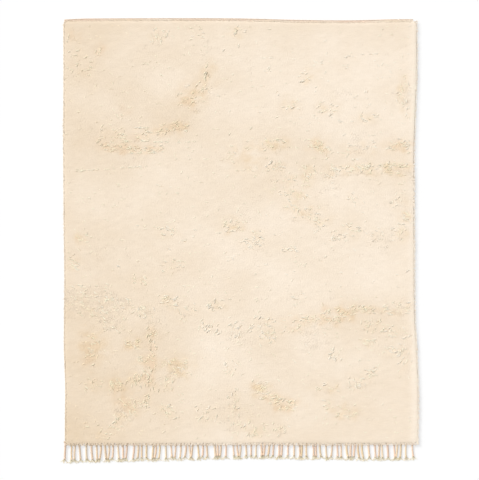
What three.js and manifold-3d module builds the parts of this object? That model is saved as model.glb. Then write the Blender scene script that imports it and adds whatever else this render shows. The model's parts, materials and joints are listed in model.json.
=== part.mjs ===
// A hand-knotted wool pile rug from the Middle Atlas, lying flat on a floor.
// Millimetres, +Z up. X runs across the rug and Y along the warp, with the fringe at -Y.
// Three pieces, as a weaver finishes them: the pile field on its ground weave, the twined
// heading that closes the far end, and the comb of knotted warp tassels along the near end.
import * as THREE from "three";
import { mergeVertices } from "three/addons/utils/BufferGeometryUtils.js";
import Module from "manifold-3d";

// ---- Driving dimensions ----
const RUG_WIDTH = 2500; // across the pile, side to side
const RUG_LENGTH = 3000; // from the heading's outer edge to the pile's near edge
const PILE_TOP = 25; // floor to the tips of the pile
const GROUND_THICKNESS = 5; // the woven ground that the knots are tied on
const PILE_OVERHANG = 12; // how far the pile leans out past the ground on every side
const HEADING_SHOWING = 22; // the heading that shows past the pile
const SEAT_GAP = 0.3; // between pieces that meet

// The pile's outline departs from a straight rectangle by a few millimetres to two centimetres.
// `at` is the place along that side from -1 to 1, and `out` how far the edge stands out there.
const LEFT_EDGE = [
  { at: -1.0, out: -8 },
  { at: -0.86, out: -10 },
  { at: -0.7, out: -12 },
  { at: -0.55, out: -1 },
  { at: -0.25, out: -6 },
  { at: 0.0, out: -2 },
  { at: 0.4, out: 3 },
  { at: 0.7, out: 1 },
  { at: 1.0, out: 2 },
];
const RIGHT_EDGE = [
  { at: -1.0, out: 12 },
  { at: -0.8, out: 18 },
  { at: -0.6, out: 10 },
  { at: -0.4, out: -8 },
  { at: 0.0, out: -12 },
  { at: 0.35, out: -14 },
  { at: 0.6, out: -2 },
  { at: 0.82, out: 8 },
  { at: 1.0, out: 4 },
];
const FAR_EDGE = [
  { at: -1.0, out: -1 },
  { at: -0.5, out: 2 },
  { at: 0.0, out: 1 },
  { at: 0.3, out: -9 },
  { at: 0.65, out: -13 },
  { at: 0.88, out: -4 },
  { at: 1.0, out: -6 },
];
const NEAR_EDGE = [
  { at: -1.0, out: 2 },
  { at: -0.4, out: 1 },
  { at: 0.1, out: -2 },
  { at: 0.6, out: 0 },
  { at: 1.0, out: -5 },
];
const CORNER_RADII = { farLeft: 38, farRight: 14, nearLeft: 24, nearRight: 20 };

// The edge's profile, from the underside up: how far in from the outline, and how high.
const EDGE_PROFILE = [
  { inset: PILE_OVERHANG, height: 0 },
  { inset: PILE_OVERHANG, height: GROUND_THICKNESS + 1 },
  { inset: 2, height: 8.5 },
  { inset: 0, height: 14 },
  { inset: 5, height: 20.5 },
  { inset: 18, height: 24 },
];
const FIELD_COLUMNS = 22;
const FIELD_ROWS = 26;
// Long soft swells of the pile: how high, how long, which way they run and where they start.
const SWELLS = [
  { height: 0.8, length: 1150, heading: 0.35, phase: 0.4 },
  { height: 0.6, length: 640, heading: 1.75, phase: 1.9 },
  { height: 0.4, length: 410, heading: 2.6, phase: 3.1 },
];

const HEADING_ROUNDING = 1.5; // the heading's outer edge
const HEADING_CORD = 9; // the twined cord along that edge

const TASSELS = 74;
const TASSEL_SIDES = 6;
const TASSEL_SHIFT = 4; // how far a root may lie from its even place
const TASSEL_LEAN = 12; // how far the tips lean to either side
const TASSEL_RAGGEDNESS = 3; // how far a tassel's length may differ from its neighbours'
const TASSEL_SIDE_MARGIN = 32; // from the pile's side edge to the outermost tassel
const SPINE_PAST_TASSELS = 8; // the warp turns past the outermost tassel
const SPINE_DEPTH = PILE_OVERHANG - 1; // the row of warp turns that the tassels leave
// A tassel's length from the pile's edge to its tips, by the place across the rug.
const TASSEL_LENGTHS = [
  { at: -1.0, out: 138 },
  { at: -0.75, out: 130 },
  { at: -0.35, out: 120 },
  { at: 0.15, out: 111 },
  { at: 0.5, out: 116 },
  { at: 1.0, out: 126 },
];
// A tassel's sections: `from` is "edge" or "tip", `step` the way from there along the cord.
const TASSEL_SECTIONS = [
  { from: "edge", step: -(PILE_OVERHANG - 4), radius: 2.4 },
  { from: "edge", step: 9, radius: 7.6 },
  { from: "edge", step: 17, radius: 5.2 },
  { from: "tip", step: -36, radius: 5.2 },
  { from: "tip", step: -27, radius: 7.8 },
  { from: "tip", step: -18, radius: 5 },
  { from: "tip", step: 0, radius: 6 },
];

const WOOL = { color: 0xf5e5cf, roughness: 0.95, metalness: 0 };
const HEADING_YARN = { color: 0xe3c8a6, roughness: 0.9, metalness: 0 };
const WARP_YARN = { color: 0xe6d8c4, roughness: 0.9, metalness: 0 };

// ---- Helpers ----
const wasm = await Module();
wasm.setup();

// A smooth curve through a table of {at, out} rows.
function readTable(rows) {
  const curve = new THREE.SplineCurve(rows.map((row) => new THREE.Vector2(row.at, row.out)));
  const samples = curve.getPoints(rows.length * 12);
  return (at) => {
    const next = Math.max(1, samples.findIndex((point) => point.x >= at));
    const [a, b] = [samples[next - 1], samples[next]];
    return a.y + ((b.y - a.y) * (at - a.x)) / (b.x - a.x);
  };
}

// A repeatable number from -1 to 1 for the index-th of many like things.
function scatter(index, salt) {
  const value = Math.sin(index * 12.9898 + salt * 78.233) * 43758.5453;
  return 2 * (value - Math.floor(value)) - 1;
}

const leftOut = readTable(LEFT_EDGE);
const rightOut = readTable(RIGHT_EDGE);
const farOut = readTable(FAR_EDGE);
const nearOut = readTable(NEAR_EDGE);
const tasselLength = readTable(TASSEL_LENGTHS);

const HALF_WIDTH = RUG_WIDTH / 2;
const HALF_LENGTH = RUG_LENGTH / 2;
const PILE_FAR_Y = HALF_LENGTH - HEADING_SHOWING;

const farY = (x) => PILE_FAR_Y + farOut(THREE.MathUtils.clamp(x / HALF_WIDTH, -1, 1));
const nearY = (x) => -HALF_LENGTH - nearOut(THREE.MathUtils.clamp(x / HALF_WIDTH, -1, 1));

// The place in the rug at (u, v), each from -1 to 1, when the outline is drawn in by `inset`.
function place(u, v, inset) {
  const left = -HALF_WIDTH - leftOut(v) + inset;
  const right = HALF_WIDTH + rightOut(v) - inset;
  const x = THREE.MathUtils.lerp(left, right, (u + 1) / 2);
  const y = THREE.MathUtils.lerp(nearY(x) + inset, farY(x) - inset, (v + 1) / 2);
  return new THREE.Vector2(x, y);
}

// Draws a point of the outline in to the round of the nearest corner.
function roundCorner(point, u, v, inset) {
  const side = u < 0 ? "Left" : "Right";
  const full = CORNER_RADII[(v < 0 ? "near" : "far") + side];
  const radius = Math.max(full - inset, 2);
  const corner = place(Math.sign(u), Math.sign(v), inset);
  const centre = new THREE.Vector2(corner.x - Math.sign(u) * radius, corner.y - Math.sign(v) * radius);
  const from = point.clone().sub(centre);
  if (from.x * Math.sign(u) <= 0 || from.y * Math.sign(v) <= 0) return point;
  return centre.add(from.setLength(Math.min(radius, from.length())));
}

// Rows and columns lie closer together towards the edges, where the corners are rounded.
const spread = (index, count) => -Math.cos((Math.PI * index) / count);

// The ground's edge along the near (-1) or far (1) end, cut off at `reach` to either side.
function groundEdge(end, reach) {
  const line = Array.from({ length: FIELD_COLUMNS + 1 }, (_, i) =>
    place(spread(i, FIELD_COLUMNS), end, PILE_OVERHANG),
  );
  const cutAt = (x) => {
    const next = line.findIndex((point) => point.x >= x);
    const [a, b] = [line[next - 1], line[next]];
    return a.clone().lerp(b, (x - a.x) / (b.x - a.x));
  };
  return [cutAt(-reach), ...line.filter((point) => Math.abs(point.x) < reach), cutAt(reach)];
}

function swell(point) {
  return SWELLS.reduce((sum, wave) => {
    const along = point.x * Math.cos(wave.heading) + point.y * Math.sin(wave.heading);
    return sum + wave.height * Math.sin((2 * Math.PI * along) / wave.length + wave.phase);
  }, 0);
}

function meshOf(name, geometry, finish) {
  const mesh = new THREE.Mesh(geometry, new THREE.MeshStandardMaterial(finish));
  mesh.name = name;
  return mesh;
}

function indexed(points, triangles) {
  const geometry = new THREE.BufferGeometry().setFromPoints(points);
  geometry.setIndex(triangles.flat());
  geometry.computeVertexNormals();
  return geometry;
}

function toSolid(geometry) {
  const merged = mergeVertices(geometry, 1e-3);
  return new wasm.Manifold(
    new wasm.Mesh({
      numProp: 3,
      vertProperties: merged.attributes.position.array,
      triVerts: new Uint32Array(merged.index.array),
    }),
  );
}

function fromSolid(solid) {
  const mesh = solid.getMesh();
  const geometry = new THREE.BufferGeometry();
  geometry.setAttribute("position", new THREE.BufferAttribute(mesh.vertProperties, 3));
  geometry.setIndex(new THREE.BufferAttribute(mesh.triVerts, 1));
  geometry.computeVertexNormals();
  return geometry;
}

// Joins closed rings of equal length into a tube with flat ends.
function loft(rings) {
  const sides = rings[0].length;
  const triangles = [];
  for (let ring = 0; ring + 1 < rings.length; ring++) {
    for (let side = 0; side < sides; side++) {
      const a = ring * sides + side;
      const b = ring * sides + ((side + 1) % sides);
      triangles.push([a, b, b + sides], [a, b + sides, a + sides]);
    }
  }
  const last = (rings.length - 1) * sides;
  for (let side = 1; side + 1 < sides; side++) {
    triangles.push([0, side + 1, side], [last, last + side, last + side + 1]);
  }
  return indexed(rings.flat(), triangles);
}

// ---- The pile field: ground weave and pile as one cloth ----
function buildPileField() {
  const loop = [];
  for (let i = 0; i < FIELD_COLUMNS; i++) loop.push([i, 0]);
  for (let j = 0; j < FIELD_ROWS; j++) loop.push([FIELD_COLUMNS, j]);
  for (let i = FIELD_COLUMNS; i > 0; i--) loop.push([i, FIELD_ROWS]);
  for (let j = FIELD_ROWS; j > 0; j--) loop.push([0, j]);

  const points = [];
  const triangles = [];
  EDGE_PROFILE.forEach(({ inset, height }) => {
    loop.forEach(([i, j]) => {
      const [u, v] = [spread(i, FIELD_COLUMNS), spread(j, FIELD_ROWS)];
      const at = roundCorner(place(u, v, inset), u, v, inset);
      points.push(new THREE.Vector3(at.x, at.y, height));
    });
  });
  const sides = loop.length;
  for (let level = 0; level + 1 < EDGE_PROFILE.length; level++) {
    for (let side = 0; side < sides; side++) {
      const a = level * sides + side;
      const b = level * sides + ((side + 1) % sides);
      triangles.push([a, b, b + sides], [a, b + sides, a + sides]);
    }
  }
  const outline = points.slice(0, sides).map((point) => new THREE.Vector2(point.x, point.y));
  THREE.ShapeUtils.triangulateShape(outline, []).forEach(([a, b, c]) => triangles.push([a, c, b]));

  // The crown: the innermost ring and a grid of points inside it.
  const rim = (EDGE_PROFILE.length - 1) * sides;
  const rimIndex = new Map(loop.map(([i, j], side) => [`${i},${j}`, rim + side]));
  const crownInset = EDGE_PROFILE[EDGE_PROFILE.length - 1].inset;
  const pointIndex = (i, j) => {
    const key = `${i},${j}`;
    if (!rimIndex.has(key)) {
      const at = place(spread(i, FIELD_COLUMNS), spread(j, FIELD_ROWS), crownInset);
      rimIndex.set(key, points.length);
      points.push(new THREE.Vector3(at.x, at.y, PILE_TOP + swell(at)));
    }
    return rimIndex.get(key);
  };
  for (let i = 0; i < FIELD_COLUMNS; i++) {
    for (let j = 0; j < FIELD_ROWS; j++) {
      const [a, b] = [pointIndex(i, j), pointIndex(i + 1, j)];
      const [c, d] = [pointIndex(i + 1, j + 1), pointIndex(i, j + 1)];
      triangles.push([a, b, c], [a, c, d]);
    }
  }
  return meshOf("pile_field", indexed(points, triangles), WOOL);
}

// ---- The heading: a firm twined strip that closes the far end ----
function buildHeading() {
  const rings = groundEdge(1, HALF_WIDTH - CORNER_RADII.farRight).map(({ x, y }) => {
    // The far left corner is rounded, so the strip narrows there.
    const share = THREE.MathUtils.smoothstep(x + HALF_WIDTH, 0, 2 * CORNER_RADII.farLeft);
    const showing = THREE.MathUtils.lerp(HEADING_SHOWING / 2, HEADING_SHOWING, share);
    const [seat, outer] = [y + SEAT_GAP, y + PILE_OVERHANG + showing];
    return [
      new THREE.Vector3(x, seat, 0),
      new THREE.Vector3(x, outer - HEADING_ROUNDING, 0),
      new THREE.Vector3(x, outer, HEADING_CORD / 3),
      new THREE.Vector3(x, outer - HEADING_ROUNDING, HEADING_CORD * 0.7),
      new THREE.Vector3(x, outer - HEADING_CORD, GROUND_THICKNESS),
      new THREE.Vector3(x, seat, GROUND_THICKNESS),
    ];
  });
  return meshOf("far_heading", loft(rings), HEADING_YARN);
}

// ---- The fringe: one comb of knotted tassels on the row of warp turns ----
function tasselCentreline(index) {
  const across = THREE.MathUtils.lerp(-1, 1, index / (TASSELS - 1));
  const rootX = across * (HALF_WIDTH - TASSEL_SIDE_MARGIN) + TASSEL_SHIFT * scatter(index, 2);
  const length = tasselLength(across) + TASSEL_RAGGEDNESS * scatter(index, 1);
  const lean = TASSEL_LEAN * scatter(index, 3);
  return {
    length,
    xAt: (along) => rootX + lean * (along / length) ** 2,
    edgeY: nearY(rootX),
  };
}

function buildTassel(index) {
  const { length, xAt, edgeY } = tasselCentreline(index);
  const rings = TASSEL_SECTIONS.map(({ from, step, radius }) => {
    const along = from === "tip" ? length + step : step;
    // Each section lies with a flat side on the floor.
    const height = radius * Math.cos(Math.PI / TASSEL_SIDES);
    return Array.from({ length: TASSEL_SIDES }, (_, side) => {
      const angle = (2 * Math.PI * (side + 0.5)) / TASSEL_SIDES - Math.PI / 2;
      return new THREE.Vector3(
        xAt(along) + radius * Math.cos(angle),
        edgeY - along,
        height + radius * Math.sin(angle),
      );
    });
  });
  return toSolid(loft(rings));
}

function buildFringe() {
  const reach = HALF_WIDTH - TASSEL_SIDE_MARGIN + SPINE_PAST_TASSELS;
  const rings = groundEdge(-1, reach).map(({ x, y }) => [
    new THREE.Vector3(x, y - SEAT_GAP, 0),
    new THREE.Vector3(x, y - SEAT_GAP, GROUND_THICKNESS),
    new THREE.Vector3(x, y - SEAT_GAP - SPINE_DEPTH, GROUND_THICKNESS),
    new THREE.Vector3(x, y - SEAT_GAP - SPINE_DEPTH, 0),
  ]);
  let comb = toSolid(loft(rings));
  for (let index = 0; index < TASSELS; index++) comb = comb.add(buildTassel(index));
  return meshOf("fringe", fromSolid(comb), WARP_YARN);
}

// ---- The rug, with its origin on the floor under the middle of its outline ----
const rug = new THREE.Group();
rug.add(buildPileField(), buildHeading(), buildFringe());
const middle = new THREE.Box3().setFromObject(rug, true).getCenter(new THREE.Vector3());
rug.position.set(-middle.x, -middle.y, 0);

export default rug;
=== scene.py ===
"""A hand-knotted cream wool pile rug that lies flat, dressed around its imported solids.

The woven ground lies on the floor and the dense pile stands on it in rows of soft locks.  A tan
heading, flat-woven and twined, closes the far end.  Along the near end the warp is plied and
knotted into tassels.  Sizes are in metres, X across the rug and Y along its warp.
"""

import json
import logging
import math
from copy import copy
from dataclasses import dataclass, field
from enum import Enum
from typing import Any, Mapping, Sequence

import bpy
import numpy as np
from bpy.types import Material, Node, NodeSocket, NodeTree, Object
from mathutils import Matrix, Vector
from mathutils.bvhtree import BVHTree

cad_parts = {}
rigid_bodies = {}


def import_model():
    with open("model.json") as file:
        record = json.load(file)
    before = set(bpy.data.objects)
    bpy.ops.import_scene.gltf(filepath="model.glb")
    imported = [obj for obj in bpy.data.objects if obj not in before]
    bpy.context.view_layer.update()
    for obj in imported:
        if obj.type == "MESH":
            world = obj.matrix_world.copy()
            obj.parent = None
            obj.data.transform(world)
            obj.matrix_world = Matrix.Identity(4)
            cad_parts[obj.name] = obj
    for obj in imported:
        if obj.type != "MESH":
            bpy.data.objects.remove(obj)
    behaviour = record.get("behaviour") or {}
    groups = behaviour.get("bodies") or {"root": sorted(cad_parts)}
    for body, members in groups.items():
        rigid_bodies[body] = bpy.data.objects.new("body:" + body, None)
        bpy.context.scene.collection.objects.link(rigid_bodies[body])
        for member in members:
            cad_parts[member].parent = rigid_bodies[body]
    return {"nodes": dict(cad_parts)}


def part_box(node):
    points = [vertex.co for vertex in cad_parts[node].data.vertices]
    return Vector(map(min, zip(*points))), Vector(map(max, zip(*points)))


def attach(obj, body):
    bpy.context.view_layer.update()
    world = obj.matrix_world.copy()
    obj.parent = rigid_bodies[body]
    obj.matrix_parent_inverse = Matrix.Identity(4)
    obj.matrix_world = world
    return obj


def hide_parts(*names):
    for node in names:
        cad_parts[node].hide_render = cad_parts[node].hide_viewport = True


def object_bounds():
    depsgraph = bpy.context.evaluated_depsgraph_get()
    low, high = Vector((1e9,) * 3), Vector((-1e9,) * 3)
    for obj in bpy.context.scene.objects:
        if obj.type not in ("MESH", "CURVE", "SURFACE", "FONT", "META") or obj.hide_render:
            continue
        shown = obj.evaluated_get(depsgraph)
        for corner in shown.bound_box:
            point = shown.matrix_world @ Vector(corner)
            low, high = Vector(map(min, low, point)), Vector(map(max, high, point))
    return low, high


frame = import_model()
CAD_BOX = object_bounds()

LOG = logging.getLogger("rug")
BODY = "root"
MM = 0.001
BAKE_MAP = "OFBake"
# How far past level a face may turn and still be lit as deep wool is.
SHADING_GRACE = 0.9

Array = np.ndarray


# ---- Small tools ----


def scatter(index: int, salt: int) -> float:
    """Gives a repeatable number for one of many like things.

    Args:
        index: Which thing it is.
        salt: Which of its numbers is wanted.

    Returns:
        A number from -1 to 1.
    """
    value = math.sin(index * 12.9898 + salt * 78.233) * 43758.5453
    return 2 * (value - math.floor(value)) - 1


def bell(distance: Array, reach: float) -> Array:
    """Falls smoothly from 1 at no distance to nearly 0 at twice the reach."""
    return np.exp(-((distance / reach) ** 2))


@dataclass(frozen=True)
class Spread:
    """A size that varies from one of many like things to the next."""

    middle: float
    either_way: float

    def of(self, index: int, salt: int) -> float:
        """Gives one thing's size, from its number and from which of its sizes is wanted."""
        return self.middle + self.either_way * scatter(index, salt)


@dataclass(frozen=True)
class Wander:
    """A smooth field that wanders about zero, made of plane waves with fixed random headings."""

    wavelength: float
    seed: int
    size: float = 1.0
    waves: int = 18
    shortest: float = 0.7
    longest: float = 1.5

    def at(self, x: Array, y: Array) -> Array:
        """Reads the field.

        Args:
            x: Places across the rug.
            y: Places along the rug.

        Returns:
            The field there, with a spread of about its size.
        """
        rng = np.random.default_rng(self.seed)
        total = np.zeros(np.shape(x))
        for _ in range(self.waves):
            heading, phase = rng.uniform(0, math.tau, 2)
            stretch = rng.uniform(self.shortest, self.longest)
            wave_number = math.tau / (self.wavelength * stretch)
            along = x * math.cos(heading) + y * math.sin(heading)
            total += np.cos(wave_number * along + phase)
        return self.size * (total * math.sqrt(2 / self.waves))


def wander_all(wanders: Sequence[Wander], x: Array, y: Array) -> Array:
    """Adds several wandering fields up, at places across and along the rug."""
    return sum(wander.at(x, y) for wander in wanders)


def make_mesh(name: str, vertices: Array, faces: Sequence[Sequence[int]]) -> Object:
    """Makes an object from points and faces and puts it in the scene.

    Args:
        name: The object's name.
        vertices: One row of x, y and z for each point.
        faces: The points of each face, in order round it.

    Returns:
        The new object, with smooth shading.
    """
    mesh = bpy.data.meshes.new(name)
    mesh.from_pydata(np.asarray(vertices).tolist(), [], [list(map(int, face)) for face in faces])
    mesh.polygons.foreach_set("use_smooth", np.ones(len(mesh.polygons), bool))
    mesh.validate()
    mesh.update()
    piece = bpy.data.objects.new(name, mesh)
    bpy.context.scene.collection.objects.link(piece)
    return piece


def store(piece: Object, name: str, values: Array) -> None:
    """Stores a number or a vector on each point of a mesh.

    Args:
        piece: The object.
        name: The attribute's name.
        values: One number, or one row of three, for each point.
    """
    is_vector = np.ndim(values) == 2
    kind, key = ("FLOAT_VECTOR", "vector") if is_vector else ("FLOAT", "value")
    attribute = piece.data.attributes.new(name, kind, "POINT")
    attribute.data.foreach_set(key, np.asarray(values, np.float32).ravel())


def store_all(piece: Object, **fields: Array) -> None:
    """Stores several numbers or vectors on each point of a mesh, by their names."""
    for name, values in fields.items():
        store(piece, name, values)


def soften_shading(piece: Object, upward: float) -> None:
    """Turns a piece's normals toward its own "up", as the light spreads through deep wool.

    Args:
        piece: The piece, whose points carry an "up" of their own.
        upward: How strongly "up" counts against each normal.
    """
    mesh = piece.data
    normals = np.empty(len(mesh.vertices) * 3, np.float32)
    up = np.empty_like(normals)
    mesh.vertex_normals.foreach_get("vector", normals)
    mesh.attributes["up"].data.foreach_get("vector", up)
    normals, up = normals.reshape(-1, 3), up.reshape(-1, 3)
    facing = np.clip(np.sum(normals * up, 1) + SHADING_GRACE, 0, 1)[:, None]
    turned = normals + upward * facing * up
    turned /= np.maximum(np.linalg.norm(turned, axis=1), 1e-6)[:, None]
    mesh.normals_split_custom_set_from_vertices(turned.tolist())


def ring_faces(rings: int, sides: int, first: int = 0) -> list[tuple[int, int, int, int]]:
    """Lists the faces between closed rings of points that follow each other.

    Args:
        rings: How many rings there are.
        sides: How many points each ring has.
        first: The number of the first ring's first point.

    Returns:
        The faces' points.
    """
    faces = []
    for ring in range(rings - 1):
        for side in range(sides):
            low = first + ring * sides
            after = (side + 1) % sides
            faces.append((low + side, low + after, low + sides + after, low + sides + side))
    return faces


@dataclass(frozen=True)
class Grid:
    """A sheet of points in rows, counted from its low corner: how its faces and its rim run."""

    columns: int
    rows: int

    def shares(self) -> tuple[Array, Array]:
        """Gives each point's share of the way across and along.

        Returns:
            The shares across and the shares along, from -1 to 1.
        """
        u, v = np.meshgrid(np.linspace(-1, 1, self.columns + 1), np.linspace(-1, 1, self.rows + 1))
        return u.ravel(), v.ravel()

    def quads(self) -> list[tuple[int, int, int, int]]:
        """Lists the faces' points.

        Returns:
            One row for each face, counterclockwise from above.
        """
        across = self.columns + 1
        quads = []
        for row in range(self.rows):
            for column in range(self.columns):
                a = row * across + column
                quads.append((a, a + 1, a + 1 + across, a + across))
        return quads

    def rim(self) -> list[int]:
        """Lists the points round the sheet's edge.

        Returns:
            Their numbers, counterclockwise from above.
        """
        across = self.columns + 1
        near = list(range(self.columns))
        right = [row * across + self.columns for row in range(self.rows)]
        far = [self.rows * across + column for column in range(self.columns, 0, -1)]
        left = [row * across for row in range(self.rows, 0, -1)]
        return near + right + far + left


def settle(piece: Object, nodes: Sequence[str] = ()) -> Object:
    """Puts a finished piece on the rug's body and reports it.

    Args:
        piece: The piece, with its place in its mesh.
        nodes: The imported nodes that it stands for.

    Returns:
        The piece.
    """
    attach(piece, BODY)
    if nodes:
        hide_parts(*nodes)
    piece.data.calc_loop_triangles()
    LOG.info("%s: %d triangles", piece.name, len(piece.data.loop_triangles))
    return piece


# ---- Node trees ----


def socket_of(sockets: Any, key: str | int | None = None) -> NodeSocket:
    """Finds a socket that is in use.

    Args:
        sockets: A node's inputs or outputs.
        key: The socket's name or number, or None for the first one in use.

    Returns:
        The socket.
    """
    if isinstance(key, int):
        return sockets[key]
    return next(s for s in sockets if s.enabled and (key is None or s.name == key))


class Graph:
    """Adds nodes to one tree and links them by their sockets' names."""

    def __init__(self, tree: NodeTree) -> None:
        """Keeps the tree."""
        self.tree = tree

    def add(
        self, kind: str, inputs: Mapping[str | int, Any] | None = None, **settings: Any
    ) -> Node:
        """Adds one node.

        Args:
            kind: The node's type.
            inputs: For each input's name or number, a plain value, a socket or a node.
            **settings: The node's own properties.

        Returns:
            The node.
        """
        node = self.tree.nodes.new(kind)
        for name, value in settings.items():
            setattr(node, name, value)
        for key, value in (inputs or {}).items():
            self.feed(socket_of(node.inputs, key), value)
        return node

    def feed(self, socket: NodeSocket, value: Any) -> None:
        """Links a socket or node into an input, or sets the input's own value.

        Args:
            socket: The input.
            value: A socket, a node or a plain value.
        """
        if isinstance(value, Node):
            value = socket_of(value.outputs)
        if isinstance(value, NodeSocket):
            self.tree.links.new(value, socket)
        else:
            socket.default_value = value

    def math(self, operation: str, *values: Any) -> NodeSocket:
        """Adds a Math node over the values and returns its output."""
        kind = "ShaderNodeMath"
        return self.add(kind, dict(enumerate(values)), operation=operation).outputs[0]

    def mix(self, share: Any, first: Any, second: Any) -> NodeSocket:
        """Mixes two colours by a share and returns the result."""
        inputs = {"Factor": share, "A": first, "B": second}
        return socket_of(self.add("ShaderNodeMix", inputs, data_type="RGBA").outputs, "Result")

    def vector(self, operation: str, first: Any, second: Any) -> NodeSocket:
        """Adds a Vector Math node over two vectors, or over a vector and its scale."""
        inputs = {0: first, "Scale" if operation == "SCALE" else 1: second}
        return self.add("ShaderNodeVectorMath", inputs, operation=operation).outputs[0]

    def named(self, name: str, kind: str = "FLOAT") -> NodeSocket:
        """Adds a node that reads a named value of each point."""
        node = self.add("GeometryNodeInputNamedAttribute", {"Name": name}, data_type=kind)
        return socket_of(node.outputs)


class SocketKind(Enum):
    """The kinds of input that the node groups here take."""

    GEOMETRY = "NodeSocketGeometry"
    NUMBER = "NodeSocketFloat"
    COUNT = "NodeSocketInt"
    VECTOR = "NodeSocketVector"
    COLOUR = "NodeSocketColor"
    COLLECTION = "NodeSocketCollection"
    MATERIAL = "NodeSocketMaterial"


# What each tree that grows a piece is given besides its own inputs.
GROWN_INPUTS = {
    "Geometry": SocketKind.GEOMETRY,
    "Map Corner": SocketKind.VECTOR,
    "Map Scale": SocketKind.VECTOR,
    "Wool": SocketKind.MATERIAL,
}


def new_group(
    name: str, kind: str, inputs: Mapping[str, SocketKind], outputs: Mapping[str, SocketKind]
) -> tuple[Graph, Mapping[str, NodeSocket], Mapping[str, NodeSocket]]:
    """Starts a node group with named inputs and outputs.

    Args:
        name: The group's name.
        kind: ShaderNodeTree or GeometryNodeTree.
        inputs: Each input's name and kind.
        outputs: Each output's name and kind.

    Returns:
        The group's graph, what it is given and what it gives back, by their names.
    """
    tree = bpy.data.node_groups.new(name, kind)
    for way, sockets in (("INPUT", inputs), ("OUTPUT", outputs)):
        for label, socket in sockets.items():
            tree.interface.new_socket(label, in_out=way, socket_type=socket.value)
    graph = Graph(tree)
    return graph, graph.add("NodeGroupInput").outputs, graph.add("NodeGroupOutput").inputs


def grown(name: str, source: Object, tree: NodeTree, values: Mapping[str, Any]) -> Object:
    """Runs a Geometry Nodes tree on an object and keeps the result as a plain mesh.

    Args:
        name: The new piece's name.
        source: The object that holds the points or lines; it is removed.
        tree: The tree.
        values: Each named input's value.

    Returns:
        The new piece.
    """
    modifier = source.modifiers.new("grow", "NODES")
    modifier.node_group = tree
    sockets = {s.name: s.identifier for s in tree.interface.items_tree if s.in_out == "INPUT"}
    for label, value in values.items():
        modifier[sockets[label]] = value
    depsgraph = bpy.context.evaluated_depsgraph_get()
    mesh = bpy.data.meshes.new_from_object(
        source.evaluated_get(depsgraph), preserve_all_data_layers=True, depsgraph=depsgraph
    )
    mesh.name = name
    source.modifiers.remove(modifier)
    bpy.data.objects.remove(source)
    piece = bpy.data.objects.new(name, mesh)
    bpy.context.scene.collection.objects.link(piece)
    return piece


# ---- The rug's outline ----


class EdgeReader:
    """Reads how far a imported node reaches, by rays from outside it."""

    STAND_OFF = 0.2
    SMOOTHING = 7

    def __init__(self, node: str) -> None:
        """Keeps the node's surface and box."""
        mesh = frame["nodes"][node].data
        points = [vertex.co for vertex in mesh.vertices]
        self.surface = BVHTree.FromPolygons(points, [face.vertices for face in mesh.polygons])
        self.low, self.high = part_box(node)

    def reach(self, places: Array, axis: int, side: int, height: float) -> Array:
        """Finds the node's edge at each place.

        Args:
            places: Where the rays run, along the other axis.
            axis: 0 to find edges in X, 1 to find them in Y.
            side: -1 for the edge at the low end of that axis, 1 for the high end.
            height: How high the rays run.

        Returns:
            The edge at each place, a little smoothed.
        """
        start = (self.high if side > 0 else self.low)[axis] + side * self.STAND_OFF
        found = []
        for place in places:
            origin = Vector((start, place, height) if axis == 0 else (place, start, height))
            heading = Vector((-side, 0, 0) if axis == 0 else (0, -side, 0))
            found.append(self.surface.ray_cast(origin, heading)[0][axis])
        half = self.SMOOTHING // 2
        padded = np.pad(found, half, mode="edge")
        return np.convolve(padded, np.ones(self.SMOOTHING) / self.SMOOTHING, mode="valid")


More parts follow.
